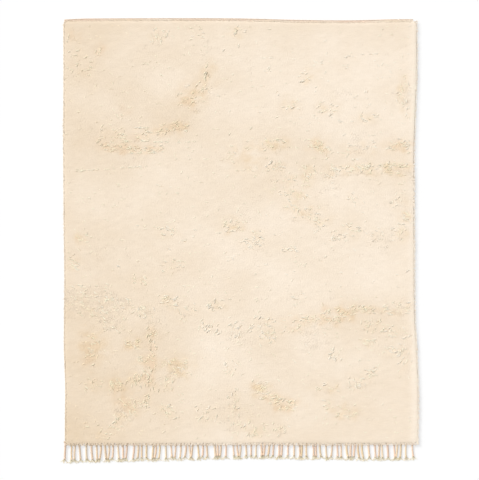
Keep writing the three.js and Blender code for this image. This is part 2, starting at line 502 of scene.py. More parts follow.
@dataclass
class RugOutline:
    """The pile's outline, with its uneven sides and its rounded corners."""

    widest_height: float = 14 * MM
    corner_reach: float = 60 * MM
    readings: int = 90
    far_left_radius: float = 38 * MM
    far_right_radius: float = 14 * MM
    near_left_radius: float = 24 * MM
    near_right_radius: float = 20 * MM

    def spread(self, left: float, right: float, near: float, far: float) -> "RugOutline":
        """Gives this outline with each of its sides moved outward.

        Args:
            left: How far the left side moves.
            right: How far the right side moves.
            near: How far the fringe end moves.
            far: How far the heading end moves.

        Returns:
            The new outline.
        """
        wider = copy(self)
        wider.left_x, wider.right_x = self.left_x - left, self.right_x + right
        wider.near_y, wider.far_y = self.near_y - near, self.far_y + far
        return wider

    def __post_init__(self) -> None:
        """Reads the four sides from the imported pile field."""
        reader = EdgeReader("pile_field")
        low, high, margin = reader.low, reader.high, self.corner_reach
        self.low, self.high = low, high
        self.y_places = np.linspace(low.y + margin, high.y - margin, self.readings)
        self.x_places = np.linspace(low.x + margin, high.x - margin, self.readings)
        self.left_x = reader.reach(self.y_places, 0, -1, self.widest_height)
        self.right_x = reader.reach(self.y_places, 0, 1, self.widest_height)
        self.near_y = reader.reach(self.x_places, 1, -1, self.widest_height)
        self.far_y = reader.reach(self.x_places, 1, 1, self.widest_height)

    def left(self, y: Array) -> Array:
        """The left side's x at these y."""
        return np.interp(y, self.y_places, self.left_x)

    def right(self, y: Array) -> Array:
        """The right side's x at these y."""
        return np.interp(y, self.y_places, self.right_x)

    def near(self, x: Array) -> Array:
        """The fringe end's y at these x."""
        return np.interp(x, self.x_places, self.near_y)

    def far(self, x: Array) -> Array:
        """The heading end's y at these x."""
        return np.interp(x, self.x_places, self.far_y)

    def place(self, u: Array, v: Array, inset: float | Array) -> tuple[Array, Array]:
        """Finds places on the rug, with the outline drawn in and its corners rounded.

        Args:
            u: The share of the way across, from -1 to 1.
            v: The share of the way along, from -1 to 1.
            inset: How far the outline is drawn in.

        Returns:
            The places' x and y.
        """
        y_share, x_share = (v + 1) / 2, (u + 1) / 2
        y_rough = self.low.y + (self.high.y - self.low.y) * y_share
        left, right = self.left(y_rough) + inset, self.right(y_rough) - inset
        x = left + (right - left) * x_share
        near, far = self.near(x) + inset, self.far(x) - inset
        y = near + (far - near) * y_share
        is_far, is_right = v > 0, u > 0
        radius = np.where(
            is_far,
            np.where(is_right, self.far_right_radius, self.far_left_radius),
            np.where(is_right, self.near_right_radius, self.near_left_radius),
        )
        radius = np.maximum(radius - inset, 2 * MM)
        x_turn = np.where(is_right, right - radius, left + radius)
        y_turn = np.where(is_far, far - radius, near + radius)
        x_past, y_past = x - x_turn, y - y_turn
        is_corner = (x_past * np.sign(u) > 0) & (y_past * np.sign(v) > 0)
        length = np.maximum(np.hypot(x_past, y_past), 1e-9)
        shrink = np.where(is_corner, np.minimum(radius, length) / length, 1.0)
        return (
            np.where(is_corner, x_turn + x_past * shrink, x),
            np.where(is_corner, y_turn + y_past * shrink, y),
        )

    def gaps(self, x: Array, y: Array) -> Array:
        """Measures how far places lie from the left, right, near and far sides, row by row."""
        return np.stack([x - self.left(y), self.right(y) - x, y - self.near(x), self.far(x) - y])

    def depth_inside(self, x: Array, y: Array) -> Array:
        """Measures how far places lie inside the nearest side."""
        return self.gaps(x, y).min(0)


# ---- How the wool lies and how it is toned ----


@dataclass(frozen=True)
class Parting:
    """A line along which the pile has opened.

    `turn` is its heading in degrees from the X axis, and `depth` goes up to 1 for the deepest.
    """

    x: float
    y: float
    length: float
    turn: float
    depth: float


@dataclass(frozen=True)
class Spot:
    """An oval place on the rug; `across` and `along` are how far it reaches from its middle."""

    x: float
    y: float
    across: float
    along: float

    def fade(self, x: Array, y: Array, reach: float) -> Array:
        """Falls smoothly from 1 in the spot's middle.

        Args:
            x: Places across the rug.
            y: Places along the rug.
            reach: How far it fades, as a share of the spot's own reach.

        Returns:
            The share at each place.
        """
        away = np.hypot((x - self.x) / self.across, (y - self.y) / self.along)
        return bell(away, reach)


@dataclass(frozen=True)
class Patch(Spot):
    """A place where the pile lies ruffled and shows its warmer depth.

    `tan` and `rose` are how strongly it shows those tones, `partings` how many short partings
    it holds and `turn` their heading in degrees.
    """

    tan: float
    rose: float
    partings: int
    turn: float = 0


@dataclass(frozen=True)
class BroadTone(Spot):
    """A wide place where the wool is a little more tan, or less."""

    tan: float


PARTING_ROWS = (
    # x, y, length, turn, depth
    (-0.92, 0.5, 0.52, 4, 0.4),
    (-0.83, 0.64, 0.25, 3, 1.0),
    (-0.8, 0.69, 0.32, 2, 0.6),
    (-0.49, 0.69, 0.36, 1, 0.4),
    (-0.67, 0.79, 0.16, 4, 0.9),
    (-0.88, 0.72, 0.13, -3, 0.45),
    (-0.7, 0.61, 0.22, 1, 0.45),
    (1.0, 0.52, 0.44, 1, 0.5),
    (0.71, 0.61, 0.14, -2, 0.4),
    (0.78, 1.29, 0.08, 0, 0.4),
    (0.92, 1.31, 0.13, 4, 0.4),
    (1.19, -0.22, 0.05, 10, 0.8),
    (0.4, -0.41, 0.08, 0, 0.45),
    (-0.7, 0.1, 0.07, 0, 0.45),
    (-1.16, -0.33, 0.06, 0, 0.8),
    (-1.19, -0.12, 0.05, 52, 1.0),
    (-0.84, -0.19, 0.04, 5, 1.0),
    (-0.5, -0.08, 0.03, -45, 1.0),
)
LONG_PARTINGS = tuple(Parting(*row) for row in PARTING_ROWS)

PATCH_ROWS = (
    # x, y, across, along, tan, rose, partings, turn
    (-1.18, 1.46, 0.04, 0.06, 0.2, 0.2, 1, 80),
    (-0.99, 1.34, 0.03, 0.025, 0.3, 0.6, 3, -60),
    (-0.56, 1.45, 0.06, 0.05, 0.1, 0.05, 6, -60),
    (-0.31, 1.46, 0.05, 0.04, 0.08, 0.0, 3),
    (-0.03, 1.47, 0.05, 0.03, 0.22, 0.0, 3),
    (-1.12, 1.27, 0.09, 0.07, 0.1, 0.0, 5, 5),
    (-1.11, 1.18, 0.06, 0.03, 0.08, 0.0, 3, 15),
    (-0.21, 1.2, 0.035, 0.06, 0.25, 0.05, 3, 60),
    (-0.27, 1.11, 0.05, 0.05, 0.28, 0.1, 3, 50),
    (-0.34, 1.02, 0.08, 0.06, 0.42, 0.15, 4, 40),
    (-0.37, 0.97, 0.05, 0.03, 0.25, 0.3, 2),
    (-0.81, 0.9, 0.05, 0.03, 0.08, 0.2, 1),
    (0.49, 1.16, 0.05, 0.04, 0.3, 0.0, 3, 20),
    (0.36, 0.96, 0.04, 0.04, 0.3, 0.0, 3),
    (0.62, 0.92, 0.06, 0.03, 0.28, 0.0, 5, 10),
    (0.91, 0.86, 0.05, 0.025, 0.25, 0.0, 4, -10),
    (1.16, 1.05, 0.035, 0.09, 0.32, 0.0, 6, 80),
    (1.2, 0.9, 0.03, 0.04, 0.22, 0.0, 3, 60),
    (-0.93, 0.69, 0.1, 0.03, 0.15, 0.2, 5, 5),
    (-0.84, 0.645, 0.1, 0.022, 0.4, 0.45, 7, 3),
    (-0.66, 0.64, 0.1, 0.02, 0.3, 0.4, 5, 2),
    (-0.75, 0.72, 0.09, 0.025, 0.18, 0.2, 4, 8),
    (-0.6, 0.765, 0.07, 0.025, 0.25, 0.15, 4, 10),
    (-0.5, 0.79, 0.06, 0.025, 0.28, 0.2, 5, 12),
    (-0.42, 0.8, 0.05, 0.03, 0.35, 0.2, 6, 20),
    (-0.9, 0.77, 0.08, 0.03, 0.12, 0.1, 4, 8),
    (0.05, 0.57, 0.09, 0.08, 0.38, 0.1, 3),
    (0.24, 0.675, 0.08, 0.03, 0.45, 0.0, 6, -8),
    (0.27, 0.52, 0.07, 0.03, 0.2, 0.0, 6, 15),
    (0.55, 0.675, 0.05, 0.035, 0.5, 0.25, 8, -30),
    (0.6, 0.64, 0.04, 0.02, 0.25, 0.1, 4, -40),
    (0.65, 0.48, 0.04, 0.03, 0.12, 0.0, 5, -45),
    (0.84, 0.53, 0.05, 0.03, 0.1, 0.0, 5, -30),
    (0.85, 0.63, 0.12, 0.03, 0.18, 0.05, 4),
    (1.13, 0.66, 0.08, 0.035, 0.42, 0.3, 9, 8),
    (0.78, 0.49, 0.12, 0.03, 0.2, 0.0, 8),
    (0.98, 0.5, 0.1, 0.03, 0.22, 0.0, 7, 2),
    (1.13, 0.5, 0.09, 0.045, 0.32, 0.05, 10),
    (0.49, 0.46, 0.05, 0.05, 0.28, 0.0, 6, -50),
    (0.42, 0.33, 0.06, 0.04, 0.22, 0.0, 5, -45),
    (0.32, 0.42, 0.08, 0.03, 0.18, 0.05, 4),
    (0.36, 0.24, 0.05, 0.03, 0.2, 0.05, 4, -30),
    (0.47, 0.19, 0.08, 0.035, 0.3, 0.1, 6, -30),
    (0.58, 0.13, 0.05, 0.03, 0.22, 0.0, 4, -20),
    (-1.12, 0.01, 0.03, 0.025, 0.4, 0.15, 4, -30),
    (-0.05, 0.09, 0.06, 0.04, 0.4, 0.0, 7, 10),
    (-0.5, 0.06, 0.07, 0.03, 0.18, 0.0, 6, -30),
    (0.12, 0.02, 0.04, 0.04, 0.15, 0.0, 5, -40),
    (0.08, -0.02, 0.08, 0.03, 0.08, 0.0, 6, -15),
    (0.34, -0.07, 0.05, 0.02, 0.05, 0.0, 5, -20),
    (0.79, 0.3, 0.03, 0.04, 0.1, 0.0, 3, -50),
    (0.69, 0.03, 0.04, 0.04, 0.15, 0.0, 4, 40),
    (0.78, 0.07, 0.05, 0.05, 0.12, 0.0, 3),
    (0.96, 0.03, 0.12, 0.05, 0.08, 0.0, 6, -15),
    (1.18, 0.17, 0.03, 0.03, 0.35, 0.05, 6, -30),
    (1.15, 0.05, 0.03, 0.06, 0.22, 0.0, 3, 60),
    (1.13, 0.26, 0.05, 0.05, 0.15, 0.0, 3, 20),
    (0.29, 0.31, 0.08, 0.03, 0.08, 0.0, 4, 10),
    (-0.71, -0.29, 0.04, 0.03, 0.05, 0.1, 5, -40),
    (-1.17, -0.18, 0.05, 0.03, 0.2, 0.1, 6, -30),
    (-0.47, -0.18, 0.06, 0.04, 0.1, 0.0, 3),
    (-1.04, -0.37, 0.14, 0.06, 0.06, 0.05, 13, -8),
    (-1.02, -0.48, 0.14, 0.07, 0.05, 0.0, 15, -12),
    (-0.84, -0.47, 0.09, 0.05, 0.08, 0.0, 9, -20),
    (-0.66, -0.51, 0.05, 0.04, 0.08, 0.0, 7, -50),
    (-0.51, -0.43, 0.06, 0.04, 0.15, 0.05, 7, 15),
    (-0.4, -0.51, 0.1, 0.05, 0.1, 0.05, 5, -30),
    (-0.17, -0.46, 0.06, 0.03, 0.2, 0.0, 7, 40),
    (-0.21, -0.62, 0.07, 0.04, 0.08, 0.0, 7, 65),
    (-0.04, -0.64, 0.05, 0.05, 0.06, 0.0, 6, 65),
    (-0.9, -0.6, 0.1, 0.05, 0.08, 0.0, 9, -25),
    (0.16, -0.59, 0.08, 0.05, 0.15, 0.0, 7, 30),
    (0.38, -0.6, 0.07, 0.05, 0.25, 0.15, 5, 15),
    (0.5, -0.57, 0.06, 0.045, 0.22, 0.1, 5, 20),
    (0.63, -0.545, 0.06, 0.045, 0.32, 0.35, 8, 15),
    (0.75, -0.515, 0.07, 0.045, 0.4, 0.25, 9, 10),
    (0.84, -0.49, 0.05, 0.025, 0.3, 0.1, 6, 10),
    (0.98, -0.5, 0.06, 0.025, 0.2, 0.15, 5, 10),
    (1.13, -0.49, 0.08, 0.045, 0.25, 0.05, 8),
    (1.1, -0.64, 0.1, 0.05, 0.12, 0.0, 8, 10),
    (0.92, -0.62, 0.06, 0.04, 0.15, 0.0, 6, 30),
    (0.19, -0.69, 0.05, 0.05, 0.08, 0.0, 6, -40),
    (-1.04, -0.75, 0.07, 0.07, 0.75, 0.15, 6, -20),
    (-1.08, -0.84, 0.05, 0.05, 0.2, 0.3, 2),
    (-0.76, -0.74, 0.05, 0.03, 0.45, 0.1, 8, -20),
    (-0.62, -0.66, 0.035, 0.05, 0.25, 0.15, 5, 60),
    (-0.61, -0.76, 0.02, 0.05, 0.1, 0.35, 3, 80),
    (-0.63, -0.87, 0.03, 0.06, 0.25, 0.4, 5, 85),
    (-0.65, -0.97, 0.03, 0.05, 0.3, 0.5, 8, 85),
    (-0.67, -0.86, 0.05, 0.03, 0.25, 0.1, 4),
    (-0.47, -0.87, 0.09, 0.03, 0.45, 0.1, 5, -8),
    (-0.42, -0.93, 0.06, 0.03, 0.35, 0.0, 7, -35),
    (-0.87, -1.03, 0.04, 0.035, 0.45, 0.15, 13, -50),
    (-0.75, -0.99, 0.05, 0.04, 0.3, 0.1, 5, 60),
    (-0.6, -1.02, 0.04, 0.06, 0.15, 0.0, 3, 80),
    (-0.5, -1.02, 0.03, 0.04, 0.15, 0.0, 4, 60),
    (-0.83, -1.13, 0.05, 0.04, 0.35, 0.45, 4, -30),
    (-0.79, -1.2, 0.05, 0.04, 0.35, 0.3, 6, -50),
    (-0.84, -1.27, 0.04, 0.03, 0.15, 0.0, 4, 60),
    (-0.69, -1.14, 0.05, 0.04, 0.15, 0.15, 10, 45),
    (-1.03, -1.03, 0.06, 0.03, 0.1, 0.0, 6, -40),
    (-1.0, -1.36, 0.15, 0.05, 0.1, 0.0, 5),
    (-0.5, -1.22, 0.05, 0.04, 0.12, 0.0, 6, -40),
    (-0.24, -1.24, 0.07, 0.05, 0.1, 0.0, 6, 60),
    (-0.06, -0.9, 0.05, 0.06, 0.08, 0.0, 4, 70),
    (-0.04, -1.17, 0.04, 0.12, 0.1, 0.0, 7, 78),
    (0.05, -1.36, 0.06, 0.07, 0.15, 0.0, 7, 75),
    (0.13, -1.36, 0.04, 0.05, 0.1, 0.0, 4, 75),
    (0.29, -1.33, 0.05, 0.05, 0.12, 0.0, 5, 50),
    (0.14, -1.04, 0.05, 0.04, 0.55, 0.05, 9, 50),
    (0.2, -1.1, 0.04, 0.03, 0.3, 0.35, 5, -20),
    (0.33, -1.17, 0.06, 0.035, 0.6, 0.5, 10, 15),
    (0.26, -1.14, 0.04, 0.03, 0.3, 0.2, 4, 10),
    (0.63, -1.05, 0.07, 0.03, 0.3, 0.0, 4, 10),
    (0.62, -1.17, 0.04, 0.03, 0.2, 0.0, 3),
    (0.74, -1.22, 0.07, 0.035, 0.4, 0.1, 7, 20),
    (0.83, -1.01, 0.06, 0.04, 0.1, 0.0, 7, -50),
    (0.68, -0.81, 0.05, 0.04, 0.1, 0.0, 6, 50),
    (0.92, -0.95, 0.04, 0.03, 0.06, 0.0, 6),
    (1.17, -0.87, 0.05, 0.1, 0.15, 0.05, 5, 60),
    (1.08, -0.78, 0.08, 0.04, 0.08, 0.0, 6, -10),
    (0.92, -0.72, 0.04, 0.03, 0.1, 0.0, 5, -20),
)
PATCHES = tuple(Patch(*row) for row in PATCH_ROWS)

TONE_ROWS = (
    # x, y, across, along, tan
    (-1.25, 0.0, 0.3, 2.2, 0.22),
    (-1.26, 0.0, 0.07, 3.0, 0.02),
    (-0.7, 0.3, 0.45, 1.6, 0.12),
    (-1.0, -1.1, 0.6, 0.6, 0.18),
    (-1.2, -1.4, 0.35, 0.2, 0.22),
    (-0.55, -0.95, 0.4, 0.45, 0.1),
    (-0.62, -0.92, 0.17, 0.2, 0.08),
    (-1.05, 1.3, 0.4, 0.45, 0.14),
    (-0.85, 0.85, 0.3, 0.12, 0.1),
    (-0.35, 1.05, 0.25, 0.4, 0.1),
    (-0.4, 0.72, 0.5, 0.14, 0.1),
    (-0.43, -0.17, 0.16, 0.16, 0.12),
    (0.2, 0.3, 0.2, 0.15, 0.12),
    (0.35, 0.6, 0.35, 0.25, 0.11),
    (1.05, 0.55, 0.3, 0.16, 0.12),
    (0.8, -0.55, 0.55, 0.16, 0.14),
    (0.8, -0.72, 0.15, 0.09, 0.15),
    (0.25, -0.8, 0.12, 0.1, 0.1),
    (0.3, -1.2, 0.35, 0.3, 0.16),
    (0.95, -1.25, 0.45, 0.25, 0.17),
    (1.15, 1.45, 0.2, 0.15, 0.12),
    (0.0, 1.45, 0.6, 0.12, 0.06),
    (0.1, 1.54, 1.6, 0.06, 0.12),
    (0.9, 0.99, 0.24, 0.15, -0.12),
    # Painted light: a narrow strip along the right rim, where the pile's side turns from the light,
    # is painted paler and lighter.
    (1.25, 0.0, 0.03, 3.0, -0.5),
    (1.1, -0.88, 0.25, 0.18, 0.1),
    (-1.05, -0.45, 0.25, 0.15, 0.05),
    (-0.2, -0.86, 0.16, 0.18, -0.14),
    (0.56, -0.88, 0.16, 0.12, -0.12),
    (-1.05, -1.25, 0.25, 0.18, 0.06),
)
BROAD_TONES = tuple(BroadTone(*row) for row in TONE_ROWS)


@dataclass
class PileLie:
    """How the pile lies: which way it leans, where it has parted, its tan and rose tones, and the
    painted light and shade at its partings.
    """

    seed: int = 20
    nap_heading: float = -90.0
    nap_stray: float = 26.0
    nap_wanders: tuple[Wander, ...] = (Wander(0.5, 3), Wander(0.16, 4, 0.6))
    short_parting: float = 26 * MM
    length_shares: tuple[float, float] = (0.5, 1.6)
    parting_width: float = 5.5 * MM
    flank_width: float = 1.65 * MM
    patch_overlap: float = 1.1
    patch_stray: float = 14.0
    patch_depths: tuple[float, float] = (0.1, 1.0)
    crowding: float = 2.8
    loose_partings: int = 900
    loose_stray: float = 25.0
    loose_depths: tuple[float, float] = (0.0, 0.25)
    usual_life: float = 0.12
    life_wanders: tuple[Wander, ...] = (Wander(0.35, 15, 0.22), Wander(0.1, 16, 0.1))
    patch_life: float = 0.09
    life_fade: float = 1.3
    tone_fade: float = math.sqrt(1.6)
    patch_tan: float = 1.1
    patch_rose: float = 0.45
    broad_tan: float = 0.85
    broad_shade: float = 0.12
    least_tan: float = 0.08
    # Along the rows the small blots and tones are drawn out: less way counts across than along.
    row_draw: float = 0.5
    row_tan: Wander = Wander(0.05, 13, 0.015)
    row_shade_draw: float = 0.2
    row_shade: Wander = Wander(0.024, 19, 0.008)
    ragged_wanders: tuple[Wander, ...] = (Wander(0.07, 7, 0.35), Wander(0.03, 8, 0.25))
    most_ragged: float = 2.2
    broad_wanders: tuple[Wander, ...] = (Wander(0.45, 11, 0.05), Wander(0.16, 12, 0.015))
    # Painted light and shade at the partings: the wool there is painted lighter, a painted
    # highlight on its ruffled flanks, and more tan, a painted warm shade in the opening.
    painted_flank_light: float = 0.10
    painted_parting_tan: float = 0.2
    bends: tuple[Wander, Wander] = (Wander(0.09, 17, 12 * MM), Wander(0.09, 18, 12 * MM))

    def __post_init__(self) -> None:
        """Draws the short partings of the patches and the loose ones between them."""
        rng = np.random.default_rng(self.seed)
        self.partings = list(LONG_PARTINGS)
        over = self.patch_overlap
        for patch in PATCHES:
            for _ in range(round(self.crowding * patch.partings)):
                x = patch.x + patch.across * rng.uniform(-over, over)
                y = patch.y + patch.along * rng.uniform(-over, over)
                turn = (patch.turn, self.patch_stray)
                self.partings.append(self.short_one(rng, x, y, turn, self.patch_depths))
        half_width, half_length = CAD_BOX[1].x, CAD_BOX[1].y
        for _ in range(self.loose_partings):
            x, y = rng.uniform(-half_width, half_width), rng.uniform(-half_length, half_length)
            turn = (0.0, self.loose_stray)
            self.partings.append(self.short_one(rng, x, y, turn, self.loose_depths))

    def short_one(
        self,
        rng: np.random.Generator,
        x: float,
        y: float,
        turn: tuple[float, float],
        depths: tuple[float, float],
    ) -> Parting:
        """Draws one short parting.

        Args:
            rng: The source of its random sizes.
            x: Its middle, across the rug.
            y: Its middle, along the rug.
            turn: The heading that it keeps to and how far it strays from it, in degrees.
            depths: The least and the greatest depth it may have.

        Returns:
            The parting.
        """
        length = self.short_parting * rng.uniform(*self.length_shares)
        heading, stray = turn
        return Parting(x, y, length, heading + stray * rng.normal(), rng.uniform(*depths))

    def opened(self, x: Array, y: Array) -> tuple[Array, Array, Array]:
        """Reads how the partings open the pile.

        Args:
            x: Places across the rug.
            y: Places along the rug.

        Returns:
            The push away from the nearest lines, in x and y, and the depth of the opening.
        """
        push_x, push_y, sink = np.zeros(x.shape), np.zeros(x.shape), np.zeros(x.shape)
        for one in self.partings:
            reach = one.length / 2 + 3 * self.parting_width
            near = np.flatnonzero((abs(x - one.x) < reach) & (abs(y - one.y) < reach))
            if not len(near):
                continue
            turn = math.radians(one.turn)
            ahead_x, ahead_y = math.cos(turn), math.sin(turn)
            from_x, from_y = x[near] - one.x, y[near] - one.y
            ahead = from_x * ahead_x + from_y * ahead_y
            aside = from_y * ahead_x - from_x * ahead_y
            past = np.maximum(abs(ahead) - one.length / 2, 0)
            effect = one.depth * bell(np.hypot(aside, past), self.parting_width)
            away = np.tanh(aside / self.flank_width) * effect
            push_x[near] += -ahead_y * away
            push_y[near] += ahead_x * away
            sink[near] = np.maximum(sink[near], effect)
        return push_x, push_y, sink

    def lean(self, x: Array, y: Array) -> tuple[Array, Array]:
        """Reads the way the undisturbed pile leans.

        Args:
            x: Places across the rug.
            y: Places along the rug.

        Returns:
            The x and y of a level arrow of length one.
        """
        stray = self.nap_stray * wander_all(self.nap_wanders, x, y)
        heading = np.radians(self.nap_heading + stray)
        return np.cos(heading), np.sin(heading)

    def liveliness(self, x: Array, y: Array) -> Array:
        """Reads how ruffled the pile is.

        Args:
            x: Places across the rug.
            y: Places along the rug.

        Returns:
            The share, from 0 where it lies calm to 1 where it is most ruffled.
        """
        lively = self.usual_life + wander_all(self.life_wanders, x, y)
        for patch in PATCHES:
            lively += self.patch_life * patch.partings * patch.fade(x, y, self.life_fade)
        return np.clip(lively, 0, 1)

    def tones(self, x: Array, y: Array) -> tuple[Array, Array, Array]:
        """Reads the tones of the wool.

        Args:
            x: Places across the rug.
            y: Places along the rug.

        Returns:
            The share of tan, the share of rose, and how much lighter the wool is than its cream.
        """
        drawn = self.row_draw * x
        ragged = np.clip(1 + wander_all(self.ragged_wanders, drawn, y), 0, self.most_ragged)
        bend_x, bend_y = self.bends
        bent_x, bent_y = x + bend_x.at(x, y), y + bend_y.at(x, y)
        tan, rose = np.zeros(x.shape), np.zeros(x.shape)
        for patch in PATCHES:
            share = ragged * patch.fade(bent_x, bent_y, self.tone_fade)
            tan += self.patch_tan * patch.tan * share
            rose += self.patch_rose * patch.rose * share
        broad = wander_all(self.broad_wanders, x, y)
        for tone in BROAD_TONES:
            broad += tone.tan * tone.fade(x, y, self.tone_fade)
        tan += self.least_tan + self.broad_tan * broad + self.row_tan.at(drawn, y)
        shade = self.row_shade.at(self.row_shade_draw * x, y) - self.broad_shade * broad
        return np.clip(tan, 0, 1), np.clip(rose, 0, 1), shade


# ---- Finishes ----


def linear(red: int, green: int, blue: int) -> tuple[float, float, float, float]:
    """Turns a colour as it shows on a screen into a shader's colour.

    Args:
        red: Its red, up to 255.
        green: Its green, up to 255.
        blue: Its blue, up to 255.

    Returns:
        Its linear red, green, blue and alpha.
    """
    parts = []
    for part in (red / 255, green / 255, blue / 255):
        parts.append(part / 12.92 if part <= 0.04045 else ((part + 0.055) / 1.055) ** 2.4)
    return (*parts, 1.0)


# The shares of a tint that red, green and blue take, for the wool's own tones and for
# painted shade and light alike: a darker tint is a little warmer.
TINT_CHANNELS = (0.93, 1.0, 1.09)
MOST_PALE = (1.0, 0.92, 0.785)
# The flecks run along the rows of knots.
ROW_DRAW = (0.22, 1.0, 1.0)
FLECK_SCALE = 120.0
# How high the fine fibres stand beside the clumps.
FIBRE_SHARE = 0.4


def build_tone_group() -> NodeTree:
    """Builds the group that colours undyed wool, from cream through tan and rose.

    Returns:
        The group.
    """
    colour, number = SocketKind.COLOUR, SocketKind.NUMBER
    inputs = {"Cream": colour, "Tan": colour, "Rose": colour}
    inputs |= {"Tan Share": number, "Rose Share": number, "Tint": number, "Fleck": number}
    graph, given, result = new_group(
        "undyed wool tone", "ShaderNodeTree", inputs, {"Color": colour}
    )
    warm = graph.mix(given["Tan Share"], given["Cream"], given["Tan"])
    rosy = graph.mix(given["Rose Share"], warm, given["Rose"])
    place = graph.add("ShaderNodeTexCoord").outputs["Object"]
    drawn = graph.vector("MULTIPLY", place, ROW_DRAW)
    noise = graph.add("ShaderNodeTexNoise", {"Vector": drawn, "Scale": FLECK_SCALE, "Detail": 3.0})
    spread = graph.math("MULTIPLY_ADD", noise.outputs[0], 2.0, -1.0)
    flecked = graph.math("MULTIPLY", spread, given["Fleck"])
    level = graph.math("ADD", flecked, given["Tint"])
    share = graph.vector("ADD", graph.vector("SCALE", TINT_CHANNELS, level), (1, 1, 1))
    held = graph.vector("MINIMUM", graph.vector("MULTIPLY", rosy, share), MOST_PALE)
    graph.feed(result["Color"], held)
    return graph.tree


def build_fibre_group() -> NodeTree:
    """Builds the group that gives the height of fine fibres and of soft clumps between them.

    Returns:
        The group.
    """
    number = SocketKind.NUMBER
    inputs = {"Coordinates": SocketKind.VECTOR, "Fibre Scale": number, "Clump Scale": number}
    graph, given, result = new_group("wool fibres", "ShaderNodeTree", inputs, {"Height": number})
    place = given["Coordinates"]
    heights = []
    for scale, detail in (("Fibre Scale", 3.0), ("Clump Scale", 2.0)):
        noise = {"Vector": place, "Scale": given[scale], "Detail": detail}
        heights.append(graph.add("ShaderNodeTexNoise", noise).outputs[0])
    fibres, clumps = heights
    height = graph.math("MULTIPLY_ADD", fibres, FIBRE_SHARE, clumps)
    graph.feed(result["Height"], height)
    return graph.tree


@dataclass(frozen=True)
class WoolFinish:
    """A matte wool: its tones, its fibres and how much light they catch."""

    name: str
    cream: tuple[float, float, float, float]
    tan: tuple[float, float, float, float]
    rose: tuple[float, float, float, float]
    fleck: float = 0.02
    fibre_scale: float = 900.0
    clump_scale: float = 160.0
    bump_height: float = 0.8 * MM
    bump_strength: float = 0.5
    roughness: float = 0.95
    sheen: float = 0.12

    def make(self, tone: NodeTree, fibres: NodeTree) -> Material:
        """Makes the material.

        Args:
            tone: The group that colours undyed wool.
            fibres: The group that gives the fibres' height.

        Returns:
            The material.
        """
        material = bpy.data.materials.new(self.name)
        material.use_nodes = True
        graph = Graph(material.node_tree)
        shader = material.node_tree.nodes["Principled BSDF"]
        constants = {
            "Roughness": self.roughness,
            "Sheen Weight": self.sheen,
            "Sheen Roughness": 0.5,
            "Specular IOR Level": 0.2,
        }
        for label, value in constants.items():
            shader.inputs[label].default_value = value
        shares = {
            label: graph.add("ShaderNodeAttribute", attribute_name=label).outputs["Fac"]
            for label in ("tan", "rose", "tint")
        }
        coloured = graph.add("ShaderNodeGroup", node_tree=tone)
        values = {"Cream": self.cream, "Tan": self.tan, "Rose": self.rose, "Fleck": self.fleck}
        values |= {"Tan Share": shares["tan"], "Rose Share": shares["rose"]}
        values |= {"Tint": shares["tint"]}
        for label, value in values.items():
            graph.feed(coloured.inputs[label], value)
        graph.feed(shader.inputs["Base Color"], coloured.outputs["Color"])
        graph.feed(shader.inputs["Normal"], self.normal(graph, fibres))
        return material

    def normal(self, graph: Graph, fibres: NodeTree) -> NodeSocket:
        """Adds the fibres' bump.

        Args:
            graph: The material's graph.
            fibres: The group that gives the fibres' height.

        Returns:
            The bumped normal.
        """
        place = graph.add("ShaderNodeTexCoord").outputs["Object"]
        relief = graph.add("ShaderNodeGroup", node_tree=fibres)
        scales = {"Fibre Scale": self.fibre_scale, "Clump Scale": self.clump_scale}
        for label, value in {"Coordinates": place, **scales}.items():
            graph.feed(relief.inputs[label], value)
        inputs = {"Strength": self.bump_strength, "Distance": self.bump_height}
        bump = graph.add("ShaderNodeBump", inputs | {"Height": relief.outputs["Height"]})
        return bump.outputs["Normal"]


# ---- The ground weave ----


@dataclass
class GroundWeave:
    """The woven ground that the knots are tied on: one thin sheet with the knots' backs below."""

    outline: RugOutline
    finish: Material
    inset: float = 12 * MM
    thickness: float = 4.8 * MM
    grid: Grid = Grid(64, 78)
    knot_relief: float = 0.5 * MM
    knots: Wander = Wander(52 * MM, 31, 0.25)

    def build(self) -> Object:
        """Builds the sheet.

        Returns:
            The piece.
        """
        x, y = self.outline.place(*self.grid.shares(), self.inset)
        relief = self.knot_relief * (0.5 + self.knots.at(x, y))
        low = np.stack([x, y, np.clip(relief, 0, 2 * self.knot_relief)], 1)
        high = np.stack([x, y, np.full(x.shape, self.thickness)], 1)
        count = len(x)
        faces = []
        for quad in self.grid.quads():
            faces.append(tuple(reversed(quad)))
            faces.append(tuple(count + corner for corner in quad))
        rim = self.grid.rim()
        for here, after in zip(rim, rim[1:] + rim[:1]):
            faces.append((here, after, count + after, count + here))
        piece = make_mesh("ground_weave", np.concatenate([low, high]), faces)
        piece.data.materials.append(self.finish)
        return piece


# ---- The pile ----


